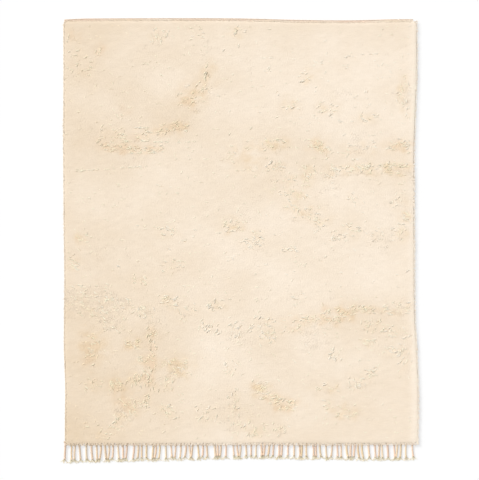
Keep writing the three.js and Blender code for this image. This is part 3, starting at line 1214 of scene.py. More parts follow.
@dataclass
class PileMat:
    """The dense lower part of the pile, from which the locks stand out."""

    outline: RugOutline
    lie: PileLie
    finish: Material
    grid: Grid = Grid(150, 176)
    crown: float = 18.4 * MM
    trough: float = 1.0 * MM
    unevenness: tuple[Wander, ...] = (Wander(0.8, 41, 0.35 * MM), Wander(0.06, 42, 0.25 * MM))
    # How far in from the outline and how high, from the underside up.
    edge_profile: tuple[tuple[float, float], ...] = (
        (13.5 * MM, 5.0 * MM),
        (11.5 * MM, 8.5 * MM),
        (10.5 * MM, 12.5 * MM),
        (11.0 * MM, 16.2 * MM),
        (16.0 * MM, 18.0 * MM),
    )

    def height(self, x: Array, y: Array) -> Array:
        """Gives the height of the mat's top, with its swells, clumps and partings.

        Args:
            x: Places across the rug.
            y: Places along the rug.

        Returns:
            The height at each place.
        """
        uneven = wander_all(self.unevenness, x, y)
        return self.crown + uneven - self.trough * self.lie.opened(x, y)[2]

    def build(self) -> Object:
        """Builds the mat as one closed mesh.

        Returns:
            The piece.
        """
        u, v = self.grid.shares()
        top_inset, top_height = self.edge_profile[-1]
        x, y = self.outline.place(u, v, top_inset)
        top = np.stack([x, y, self.height(x, y)], 1)
        rim = self.grid.rim()
        top[rim, 2] = top_height
        rings = []
        for inset, height in self.edge_profile[:-1]:
            ring_x, ring_y = self.outline.place(u[rim], v[rim], inset)
            rings.append(np.stack([ring_x, ring_y, np.full(len(rim), height)], 1))
        sides = len(rim)
        first = len(top)
        faces = self.grid.quads()
        faces += ring_faces(len(rings), sides, first)
        last = first + (len(rings) - 1) * sides
        middle = first + len(rings) * sides
        for side in range(sides):
            after = (side + 1) % sides
            faces.append((last + side, last + after, rim[after], rim[side]))
            faces.append((first + after, first + side, middle))
        underside = np.array([[0.0, 0.0, self.edge_profile[0][1]]])
        points = np.concatenate([top, *rings, underside])
        piece = make_mesh("pile_mat", points, faces)
        tan, rose, shade = self.lie.tones(points[:, 0], points[:, 1])
        sink = self.lie.opened(points[:, 0], points[:, 1])[2]
        # Near the partings the mat takes the painted warm shade and the painted light.
        tan = np.clip(tan + self.lie.painted_parting_tan * sink, 0, 1)
        store_all(piece, tan=tan, rose=rose, tint=shade + self.lie.painted_flank_light * sink)
        piece.data.materials.append(self.finish)
        return piece


@dataclass(frozen=True)
class LockShape:
    """One lock of pile wool, lying along Y with its root at the origin."""

    width: float
    middle_at: float
    middle_rise: float
    length: float
    tip_rise: float
    bow: float
    tip_bow: float = 0.4
    thickness: float = 2.6 * MM
    root_depth: float = 2.0 * MM

    def build(self, name: str) -> Object:
        """Builds the lock: a buried root, a full middle with three sides, and a tip.

        Args:
            name: The object's name.

        Returns:
            The lock.
        """
        low, high = self.middle_rise - self.thickness / 3, self.middle_rise + self.thickness * 2 / 3
        points = [
            (0.0, 0.0, -self.root_depth),
            (self.bow + self.width / 2, self.middle_at, low),
            (self.bow, self.middle_at, high),
            (self.bow - self.width / 2, self.middle_at, low),
            (self.bow * self.tip_bow, self.length, self.tip_rise),
        ]
        faces = []
        for side in range(3):
            here, after = 1 + side, 1 + (side + 1) % 3
            faces.append((here, 4, after))
            faces.append((after, 0, here))
        return make_mesh(name, np.array(points), faces)


LOCK_SHAPES = (
    LockShape(7.0 * MM, 10 * MM, 2.2 * MM, 26 * MM, -1.0 * MM, 1.2 * MM),
    LockShape(7.6 * MM, 9 * MM, 2.4 * MM, 24 * MM, -1.0 * MM, -1.5 * MM),
    LockShape(6.6 * MM, 11 * MM, 2.1 * MM, 27 * MM, -1.2 * MM, -0.4 * MM),
    LockShape(7.2 * MM, 9 * MM, 2.5 * MM, 23 * MM, -1.0 * MM, 2.0 * MM),
)


LOCK_SIZE_SPREAD = 0.12
LOCK_MAP_MARGIN = 40 * MM


def build_lock_tree() -> NodeTree:
    """Builds the tree that stands a lock on every knot, turned to the way the pile leans.

    Returns:
        The tree.
    """
    kinds = SocketKind
    inputs = GROWN_INPUTS | {
        "Locks": kinds.COLLECTION,
        "Kinds": kinds.COUNT,
        "Size Spread": kinds.NUMBER,
        "Seed": kinds.COUNT,
    }
    graph, given, result = new_group(
        "rows of locks", "GeometryNodeTree", inputs, {"Geometry": kinds.GEOMETRY}
    )
    locks = graph.add(
        "GeometryNodeCollectionInfo",
        {"Collection": given["Locks"], "Separate Children": True, "Reset Children": True},
    )
    last_kind = graph.math("SUBTRACT", given["Kinds"], 1)
    choice = {"Min": 0, "Max": last_kind, "Seed": given["Seed"]}
    pick = graph.add("FunctionNodeRandomValue", choice, data_type="INT")
    up = graph.named("up", "FLOAT_VECTOR")
    stand = graph.add("FunctionNodeAlignRotationToVector", {"Vector": up}, axis="Z")
    turned = graph.add(
        "FunctionNodeAlignRotationToVector",
        {"Rotation": stand, "Vector": graph.named("lean", "FLOAT_VECTOR")},
        axis="Y",
        pivot_axis="Z",
    )
    least = graph.math("SUBTRACT", 1.0, given["Size Spread"])
    most = graph.math("ADD", 1.0, given["Size Spread"])
    spread = {"Min": least, "Max": most, "Seed": given["Seed"]}
    grow = graph.add("FunctionNodeRandomValue", spread, data_type="FLOAT")
    scale = graph.math("MULTIPLY", grow, graph.named("size"))
    height = graph.math("MULTIPLY", scale, graph.named("loft"))
    stretched = graph.add("ShaderNodeCombineXYZ", {"X": scale, "Y": scale, "Z": height})
    stood = graph.add(
        "GeometryNodeInstanceOnPoints",
        {
            "Points": given["Geometry"],
            "Instance": locks,
            "Pick Instance": True,
            "Instance Index": pick,
            "Rotation": turned,
            "Scale": stretched,
        },
    )
    real = graph.add("GeometryNodeRealizeInstances", {"Geometry": stood})
    add_map_and_wool(graph, given, result, real)
    return graph.tree


def map_inputs(place: Array, margin: float) -> dict[str, tuple[float, float, float]]:
    """Fits a map seen from above round a set of points.

    Args:
        place: The points, one row each.
        margin: How far the map reaches past them.

    Returns:
        A tree's Map Corner and Map Scale.
    """
    low, high = place.min(0) - margin, place.max(0) + margin
    scale = (1 / (high[0] - low[0]), 1 / (high[1] - low[1]), 0.0)
    return {"Map Corner": (low[0], low[1], 0.0), "Map Scale": scale}


def add_map_and_wool(
    graph: Graph,
    given: Mapping[str, NodeSocket],
    result: Mapping[str, NodeSocket],
    source: Node,
) -> None:
    """Ends a tree: a map seen from above, smooth shading and the wool.

    Args:
        graph: The tree's graph.
        given: What it is given, with Map Corner, Map Scale and Wool.
        result: What it gives back.
        source: The node whose geometry is finished.
    """
    place = graph.add("GeometryNodeInputPosition")
    moved = graph.vector("SUBTRACT", place, given["Map Corner"])
    scaled = graph.vector("MULTIPLY", moved, given["Map Scale"])
    mapped = graph.add(
        "GeometryNodeStoreNamedAttribute",
        {"Geometry": source, "Name": BAKE_MAP, "Value": scaled},
        data_type="FLOAT2",
        domain="CORNER",
    )
    smooth = graph.add("GeometryNodeSetShadeSmooth", {"Geometry": mapped})
    dressed = graph.add("GeometryNodeSetMaterial", {"Geometry": smooth, "Material": given["Wool"]})
    graph.feed(result["Geometry"], dressed)


def plant(
    name: str,
    source: Object,
    shapes: Sequence["LockShape | StrandShape"],
    wool: Material,
    seed: int,
    soft_shading: float = 4.0,
) -> Object:
    """Stands a lock on every point of an object.

    Args:
        name: The new piece's name.
        source: The points, with their up, lean, size and tones; it is removed.
        shapes: The shapes that the locks are picked from.
        wool: The locks' finish.
        seed: Fixes the picks.
        soft_shading: How strongly "up" counts in the locks' shading.

    Returns:
        The piece.
    """
    kinds = bpy.data.collections.new("locks")
    bpy.context.scene.collection.children.link(kinds)
    for index, shape in enumerate(shapes):
        lock = shape.build(f"lock_{index}")
        bpy.context.scene.collection.objects.unlink(lock)
        kinds.objects.link(lock)
    place = np.empty(len(source.data.vertices) * 3)
    source.data.vertices.foreach_get("co", place)
    values = {
        "Locks": kinds,
        "Kinds": len(shapes),
        "Size Spread": LOCK_SIZE_SPREAD,
        **map_inputs(place.reshape(-1, 3), LOCK_MAP_MARGIN),
        "Wool": wool,
        "Seed": seed,
    }
    piece = grown(name, source, build_lock_tree(), values)
    soften_shading(piece, soft_shading)
    for label in ("up", "lean", "size", "loft"):
        piece.data.attributes.remove(piece.data.attributes[label])
    for lock in list(kinds.objects):
        bpy.data.objects.remove(lock)
    bpy.data.collections.remove(kinds)
    return piece


@dataclass
class Knots:
    """The knots that a run of locks stands on."""

    place: Array
    up: Array
    lean: Array
    size: Array
    loft: Array

    def band(self, low: float, high: float) -> "Knots":
        """Keeps the knots between two places along the rug.

        Args:
            low: Where the band starts.
            high: Where it ends.

        Returns:
            The knots in it.
        """
        held = (self.place[:, 1] >= low) & (self.place[:, 1] < high)
        return Knots(*(values[held] for values in vars(self).values()))

    def joined(self, other: "Knots") -> "Knots":
        """Joins these knots and some others into one run."""
        pairs = zip(vars(self).values(), vars(other).values())
        return Knots(*(np.concatenate(pair) for pair in pairs))


@dataclass
class PileLocks:
    """The visible pile: rows of leaning locks, in bands along the rug."""

    outline: RugOutline
    lie: PileLie
    mat: PileMat
    finish: Material
    pitch: float = 9.6 * MM
    row_pitch: float = 8.6 * MM
    edge_pitch: float = 7 * MM
    edge_inset: float = 15 * MM
    jitter: float = 0.38
    lean_spread: float = 11.0
    calm_loft: float = 0.22
    lively_loft: float = 0.22
    calm_sink: float = 1.9 * MM
    tilt_spread: float = 0.03
    edge_reach: float = 10 * MM
    edge_lean: float = 0.25
    edge_calm: float = 0.3
    rim_width: float = 12 * MM
    rim_drop: float = 0.4 * MM
    push: float = 0.2
    sink: float = 0.9 * MM
    side_lift: float = 0.8 * MM
    side_shift: float = 2 * MM
    side_turn: float = 0.3
    side_size: float = 0.62
    side_loft: float = 1.3
    tint_spread: float = 0.004
    bands: int = 4
    band_margin: float = 0.1
    seed: int = 5
    # Rows on the pile's side: how far in, how high, and how much they lean down.
    side_rows: tuple[tuple[float, float, float], ...] = (
        (19.0 * MM, 8.5 * MM, 0.15),
        (16.5 * MM, 12.5 * MM, 0.0),
        (12.5 * MM, 18.2 * MM, -0.05),
    )

    def field_knots(self) -> Knots:
        """Lays the knots of the field out in staggered rows.

        Returns:
            The knots.
        """
        rng = np.random.default_rng(self.seed)
        low, high = self.outline.low, self.outline.high
        columns = np.arange(low.x, high.x, self.pitch)
        rows = np.arange(low.y, high.y, self.row_pitch)
        x, y = np.meshgrid(columns, rows)
        x = x + (np.arange(len(rows)) % 2)[:, None] * self.pitch / 2
        x = x.ravel() + self.pitch * self.jitter * rng.uniform(-1, 1, x.size)
        y = y.ravel() + self.row_pitch * self.jitter * rng.uniform(-1, 1, y.size)
        inside = self.outline.depth_inside(x, y)
        kept = inside > self.edge_inset
        x, y, inside = x[kept], y[kept], inside[kept]
        push_x, push_y, opened = self.lie.opened(x, y)
        lean_x, lean_y = self.lie.lean(x, y)
        turn = np.radians(self.lean_spread) * rng.normal(size=x.size)
        lean_x, lean_y = (
            lean_x * np.cos(turn) - lean_y * np.sin(turn),
            lean_x * np.sin(turn) + lean_y * np.cos(turn),
        )
        out_x, out_y = self.outward(x, y)
        edge = np.exp(-(inside - self.edge_inset) / self.edge_reach)
        keep = np.clip(1 - self.push * opened - self.edge_calm * edge, 0, 1)
        lean = np.stack(
            [
                lean_x * keep + self.push * push_x + self.edge_lean * out_x * edge,
                lean_y * keep + self.push * push_y + self.edge_lean * out_y * edge,
                np.zeros(x.size),
            ],
            1,
        )
        tilt = self.tilt_spread * rng.normal(size=(x.size, 2))
        up = np.stack([tilt[:, 0], tilt[:, 1], np.ones(x.size)], 1)
        rise = np.minimum((inside - self.edge_inset) / self.rim_width, 1)
        lively = self.lie.liveliness(x, y)
        height = self.mat.height(x, y) - self.rim_drop * (1 - rise) - self.sink * opened
        height -= self.calm_sink * (1 - lively)
        place = np.stack([x, y, height], 1)
        loft = self.calm_loft + self.lively_loft * lively
        return Knots(place, up, lean, np.ones(x.size), loft)

    def outward(self, x: Array, y: Array) -> tuple[Array, Array]:
        """Gives the way to the nearest side.

        Args:
            x: Places across the rug.
            y: Places along the rug.

        Returns:
            The x and y of a level arrow of length one.
        """
        nearest = self.outline.gaps(x, y).argmin(0)
        return np.array([-1, 1, 0, 0])[nearest], np.array([0, 0, -1, 1])[nearest]

    def side_knots(self) -> Knots:
        """Lays knots out along the pile's four sides, so that its wall is wool too.

        Returns:
            The knots.
        """
        rng = np.random.default_rng(self.seed + 1)
        width, length = self.outline.high.x * 2, self.outline.high.y * 2
        across = np.linspace(-1, 1, int(width / self.edge_pitch))
        along = np.linspace(-1, 1, int(length / self.edge_pitch))
        u = np.concatenate([across, np.ones(len(along)), -across, -np.ones(len(along))])
        v = np.concatenate([-np.ones(len(across)), along, np.ones(len(across)), -along])
        places, ups, leans = [], [], []
        for inset, height, droop in self.side_rows:
            x, y = self.outline.place(u, v, inset)
            out_x, out_y = self.outline.place(u, v, 0.0)
            away = np.stack([out_x - x, out_y - y, np.zeros(len(x))], 1)
            away /= np.linalg.norm(away, axis=1)[:, None]
            aside = np.stack([-away[:, 1], away[:, 0], np.zeros(len(x))], 1)
            noise = rng.normal(size=(len(x), 3))
            heights = height + self.side_lift * noise[:, 0]
            shift = self.side_shift * aside * noise[:, 1:2]
            places.append(np.stack([x, y, heights], 1) + shift)
            leans.append(away + self.side_turn * aside * noise[:, 2:3] - [0, 0, droop])
            ups.append(away * droop + np.array([0, 0, 1.0]))
        count = sum(len(p) for p in places)
        size, loft = np.full(count, self.side_size), np.full(count, self.side_loft)
        return Knots(np.concatenate(places), np.concatenate(ups), np.concatenate(leans), size, loft)

    def build(self) -> list[Object]:
        """Builds the pile's bands.

        Returns:
            One piece for each band.
        """
        field_knots, side_knots = self.field_knots(), self.side_knots()
        low, high = self.outline.low.y - self.band_margin, self.outline.high.y + self.band_margin
        cuts = np.linspace(low, high, self.bands + 1)
        pieces = []
        for band, (low, high) in enumerate(zip(cuts[:-1], cuts[1:])):
            knots = field_knots.band(low, high).joined(side_knots.band(low, high))
            source = make_mesh("knots", knots.place, [])
            store_all(source, up=knots.up, lean=knots.lean, size=knots.size, loft=knots.loft)
            x, y = knots.place[:, 0], knots.place[:, 1]
            tan, rose, shade = self.lie.tones(x, y)
            opened = self.lie.opened(x, y)[2]
            rng = np.random.default_rng(self.seed + 10 + band)
            # Near the partings the locks take the painted warm shade and the painted light.
            tan = np.clip(tan + self.lie.painted_parting_tan * opened, 0, 1)
            shade = shade + self.lie.painted_flank_light * opened
            tint = shade + self.tint_spread * rng.uniform(-1, 1, len(x))
            store_all(source, tan=tan, rose=rose, tint=tint)
            name = f"pile_locks_{band + 1}"
            pieces.append(plant(name, source, LOCK_SHAPES, self.finish, self.seed + band))
        return pieces


@dataclass(frozen=True)
class StrandShape:
    """One thin strand of wool that lies along Y in a slight wave, with both ends buried."""

    width: float
    length: float
    bow: float
    wave: float = -0.5
    rise: float = 0.2 * MM
    thickness: float = 0.6 * MM
    root_depth: float = 2.0 * MM
    tip_depth: float = 0.6 * MM
    sections: tuple[float, float] = (0.3, 0.72)

    def build(self, name: str) -> Object:
        """Builds the strand: a root, two sections with three sides each, and a tip.

        Args:
            name: The object's name.

        Returns:
            The strand.
        """
        low, high = self.rise - self.thickness / 3, self.rise + self.thickness * 2 / 3
        half = self.width / 2
        points = [(0.0, 0.0, -self.root_depth)]
        lower, upper = self.sections
        for share, aside in ((lower, self.bow), (upper, self.bow * self.wave)):
            along = share * self.length
            points.append((aside + half, along, low))
            points.append((aside, along, high))
            points.append((aside - half, along, low))
        points.append((0.0, self.length, -self.tip_depth))
        faces = []
        for side in range(3):
            here, after = 1 + side, 1 + (side + 1) % 3
            faces.append((after, 0, here))
            faces.append((here, here + 3, after + 3, after))
            faces.append((here + 3, 7, after + 3))
        return make_mesh(name, np.array(points), faces)


SHADE_SHAPES = (
    StrandShape(1.3 * MM, 34 * MM, 2.0 * MM),
    StrandShape(1.5 * MM, 29 * MM, -2.3 * MM),
    StrandShape(1.2 * MM, 40 * MM, -1.9 * MM, 0.9),
)

CURL_SHAPES = (
    StrandShape(3.2 * MM, 30 * MM, 2.0 * MM),
    StrandShape(3.0 * MM, 26 * MM, -2.3 * MM),
    StrandShape(3.4 * MM, 35 * MM, -1.7 * MM, 0.8),
)


@dataclass
class Strands:
    """Loose strands to be planted, gathered one by one."""

    rows: list[tuple[float, ...]] = field(default_factory=list)

    def add(
        self,
        start: Array,
        facing: Array,
        rise: float,
        size: float,
        slope: Array,
        tint: float,
        tan: float,
    ) -> None:
        """Adds a strand.

        Args:
            start: Its root's x and y.
            facing: The x and y of the way it lies.
            rise: How far it stands above the rest.
            size: Its size, as a share of its shape's.
            slope: The x and y of its slope, which faces that way.
            tint: How much lighter it is than the wool round it; it carries painted shade and
                highlight.
            tan: How much more tan it is.
        """
        self.rows.append((*start, *facing, rise, size, *slope, tint, tan))

    def plant(
        self,
        name: str,
        pile: "Ruffles",
        shapes: Sequence[StrandShape],
        seed: int,
        soft_shading: float,
    ) -> Object:
        """Plants the strands that lie well inside the rug.

        Args:
            name: The new piece's name.
            pile: The pile that they lie on.
            shapes: The shapes that they are picked from.
            seed: Fixes the picks.
            soft_shading: How strongly "up" counts in the strands' shading.

        Returns:
            The piece.
        """
        table = np.array(self.rows)
        ends = table[:, :2] + 2 * pile.half_strand * table[:, 2:4]
        at_root = pile.outline.depth_inside(table[:, 0], table[:, 1])
        at_tip = pile.outline.depth_inside(ends[:, 0], ends[:, 1])
        table = table[np.minimum(at_root, at_tip) > pile.edge_gap]
        x, y, lean_x, lean_y, rise, size, slope_x, slope_y, tint, tan_more = table.T
        height = pile.mat.height(x, y) + pile.surface + rise
        source = make_mesh(name, np.stack([x, y, height], 1), [])
        none, one = np.zeros(len(x)), np.ones(len(x))
        up, lean = np.stack([slope_x, slope_y, one], 1), np.stack([lean_x, lean_y, none], 1)
        store_all(source, up=up, lean=lean, size=size, loft=one)
        tan, rose, shade = pile.lie.tones(x, y)
        tan = np.clip(tan + tan_more, 0, 1)
        store_all(source, tint=shade + tint, tan=tan, rose=rose)
        return plant(name, source, shapes, pile.finish, seed, soft_shading)


@dataclass
class Ruffles:
    """Fine strands along the partings, in pairs: each parting is a small wave of the pile.

    The curl on its one flank catches the light and carries a painted highlight; the strand on its
    other flank turns away and carries painted shade.
    """

    lie: PileLie
    mat: PileMat
    outline: RugOutline
    finish: Material
    spacing: float = 22 * MM
    surface: float = 0.5 * MM
    long_parting: float = 90 * MM
    # How far a strand lies off its parting's line, and how much it turns from its heading.
    long_stray: tuple[float, float] = (1.5 * MM, 0.2)
    short_stray: tuple[float, float] = (5.0 * MM, 0.45)
    least_strength: float = 0.2
    depth_strength: float = 0.85
    strengths: tuple[float, float] = (0.5, 1.0)
    sizes: tuple[float, float] = (0.6, 1.1)
    level_depth: float = 0.4
    rise_spread: float = 0.9 * MM
    half_strand: float = 14 * MM
    slope: float = 1.0
    shade_slope: float = 0.3
    shade_sink: float = 0.4 * MM
    # Painted shade: the strand in a parting is coloured darker and tan, standing for the shade down
    # in the opening.
    painted_shade_tint: float = -0.03
    painted_shade_deepening: float = 0.12
    painted_shade_tan: float = 1.0
    lips: int = 2
    lip_step: float = 1.3
    curl_way: float = 3.0 * MM
    way_shares: tuple[float, float] = (0.8, 1.2)
    curl_rise: float = 0.3 * MM
    # Painted highlight: the curls are coloured lighter, standing for the light that their flank
    # catches.
    painted_curl_light: float = 0.13
    painted_curl_highlight: float = 0.35
    curl_tan: float = 0.2
    crest_heading: float = 135.0
    edge_gap: float = 20 * MM
    shade_softness: float = 0.8
    curl_softness: float = 3.0
    seed: int = 77

    def build(self) -> list[Object]:
        """Builds the strands.

        Returns:
            The strands that turn away and the curls that catch the light.
        """
        rng = np.random.default_rng(self.seed)
        heading = math.radians(self.crest_heading)
        crest = np.array([math.cos(heading), math.sin(heading)])
        shades, curls = Strands(), Strands()
        for parting in self.lie.partings:
            turn = math.radians(parting.turn)
            ahead = np.array([math.cos(turn), math.sin(turn)])
            aside = np.array([-ahead[1], ahead[0]])
            is_long = parting.length > self.long_parting
            spread, stray = self.long_stray if is_long else self.short_stray
            for _ in range(max(1, round(parting.length / self.spacing))):
                middle = np.array([parting.x, parting.y])
                middle = middle + ahead * parting.length * rng.uniform(-0.5, 0.5)
                middle = middle + aside * spread * rng.normal()
                facing = ahead * rng.choice([-1, 1]) + aside * stray * rng.normal()
                start = middle - facing * self.half_strand
                flank = np.array([-facing[1], facing[0]])
                strength = self.least_strength + self.depth_strength * parting.depth
                strength *= rng.uniform(*self.strengths)
                flank *= self.slope * strength * (flank @ crest)
                rise = self.rise_spread * (parting.depth - self.level_depth)
                size = rng.uniform(*self.sizes)
                # The strand is painted darker, as painted shade, the more so the deeper the
                # parting.
                tint = self.painted_shade_tint - self.painted_shade_deepening * strength
                away, sunk = -self.shade_slope * flank, rise - self.shade_sink
                shades.add(start, facing, sunk, size, away, tint, self.painted_shade_tan)
                hand = 1 if aside @ crest > 0 else -1
                for lip in range(self.lips):
                    way = self.curl_way * (1 + self.lip_step * lip) * rng.uniform(*self.way_shares)
                    size = rng.uniform(*self.sizes)
                    # Each curl is painted lighter, as a painted highlight.
                    painted_highlight = strength * rng.uniform(*self.strengths)
                    tint = self.painted_curl_light + self.painted_curl_highlight * painted_highlight
                    place = start + aside * hand * way
                    raised = rise + self.curl_rise
                    curls.add(place, facing, raised, size, flank, tint, self.curl_tan)
        return [
            shades.plant("pile_shades", self, SHADE_SHAPES, self.seed, self.shade_softness),
            curls.plant("pile_curls", self, CURL_SHAPES, self.seed + 1, self.curl_softness),
        ]


# ---- Cords, for the fringe and the heading ----


CORD_MAP_MARGIN = 20 * MM


def build_cord_tree() -> NodeTree:
    """Builds the tree that lays twisted strands along every guide line.

    Returns:
        The tree.
    """
    kinds = SocketKind
    inputs = GROWN_INPUTS | {
        "Strands": kinds.COUNT,
        "Strand Radius": kinds.NUMBER,
        "Lay Radius": kinds.NUMBER,
        "Twist Pitch": kinds.NUMBER,
        "Spacing": kinds.NUMBER,
        "Sides": kinds.COUNT,
    }
    graph, given, result = new_group(
        "plied cord", "GeometryNodeTree", inputs, {"Geometry": kinds.GEOMETRY}
    )
    lines = graph.add("GeometryNodeMeshToCurve", {"Mesh": given["Geometry"]})
    even = graph.add(
        "GeometryNodeResampleCurve",
        {"Curve": lines, "Length": given["Spacing"]},
        mode="LENGTH",
    )
    strands = graph.add(
        "GeometryNodeDuplicateElements",
        {"Geometry": even, "Amount": given["Strands"]},
        domain="SPLINE",
    )
    turn = graph.math("DIVIDE", strands.outputs["Duplicate Index"], given["Strands"])
    along = graph.add("GeometryNodeSplineParameter").outputs["Length"]
    twists = graph.math("DIVIDE", along, given["Twist Pitch"])
    angle = graph.math("MULTIPLY", graph.math("ADD", twists, turn), math.tau)
    thickness = graph.named("thickness")
    radius = graph.math("MULTIPLY", given["Lay Radius"], thickness)
    normal = graph.add("GeometryNodeInputNormal")
    tangent = graph.add("GeometryNodeInputTangent")
    binormal = graph.vector("CROSS_PRODUCT", normal, tangent)
    out_share = graph.math("MULTIPLY", graph.math("COSINE", angle), radius)
    side_share = graph.math("MULTIPLY", graph.math("SINE", angle), radius)
    outward = graph.vector("SCALE", normal, out_share)
    sideways = graph.vector("SCALE", binormal, side_share)
    offset = graph.vector("ADD", outward, sideways)
    laid = graph.add("GeometryNodeSetPosition", {"Geometry": strands, "Offset": offset})
    ring = graph.add(
        "GeometryNodeCurvePrimitiveCircle",
        {"Resolution": given["Sides"], "Radius": given["Strand Radius"]},
    )
    tube = graph.add(
        "GeometryNodeCurveToMesh",
        {"Curve": laid, "Profile Curve": ring, "Scale": thickness, "Fill Caps": True},
    )
    add_map_and_wool(graph, given, result, tube)
    return graph.tree


@dataclass(frozen=True)
class Tone:
    """One cord's colour: how much lighter it is than the rest, and its shares of tan and rose."""

    tint: float = 0.0
    tan: float = 0.0
    rose: float = 0.0


@dataclass
class Guides:
    """Lines for cords to follow, with each point's thickness and each line's tone."""

    points: list[Array] = field(default_factory=list)
    thickness: list[Array] = field(default_factory=list)
    tones: list[Tone] = field(default_factory=list)

    def add(self, line: Array, thickness: Array | float, tone: Tone) -> None:
        """Adds a line.

        Args:
            line: Its points, one row each.
            thickness: The share of the cord's full thickness at each point.
            tone: The cord's colour.
        """
        self.points.append(line)
        self.thickness.append(np.broadcast_to(thickness, len(line)))
        self.tones.append(tone)

    def object(self) -> Object:
        """Makes the lines into one object of bare edges.

        Returns:
            The object, with each point's thickness and colour stored on it.
        """
        place = np.concatenate(self.points)
        counts = [len(line) for line in self.points]
        starts = np.cumsum([0] + counts)
        edges = []
        for start, end in zip(starts[:-1], starts[1:]):
            edges += [(i, i + 1) for i in range(start, end - 1)]
        mesh = bpy.data.meshes.new("guides")
        mesh.from_pydata(place.tolist(), edges, [])
        piece = bpy.data.objects.new("guides", mesh)
        bpy.context.scene.collection.objects.link(piece)
        store(piece, "thickness", np.concatenate(self.thickness))
        for label in ("tint", "tan", "rose"):
            values = [getattr(tone, label) for tone in self.tones]
            store(piece, label, np.repeat(values, counts))
        return piece


@dataclass(frozen=True)
class Cord:
    """How a cord is laid: its strands, their twist and how finely they are drawn."""

    strands: int
    strand_radius: float
    lay_radius: float
    twist_pitch: float
    spacing: float
    sides: int = 5

    def lay(self, name: str, guides: Guides, tree: NodeTree, wool: Material) -> Object:
        """Lays the cord along its guide lines.

        Args:
            name: The new piece's name.
            guides: The lines.
            tree: The tree that lays cords.
            wool: The cord's finish.

        Returns:
            The piece.
        """
        values = {
            "Strands": self.strands,
            "Strand Radius": self.strand_radius,
            "Lay Radius": self.lay_radius,
            "Twist Pitch": self.twist_pitch,
            "Spacing": self.spacing,
            "Sides": self.sides,
            **map_inputs(np.concatenate(guides.points), CORD_MAP_MARGIN),
            "Wool": wool,
        }
        return grown(name, guides.object(), tree, values)


# ---- The fringe ----


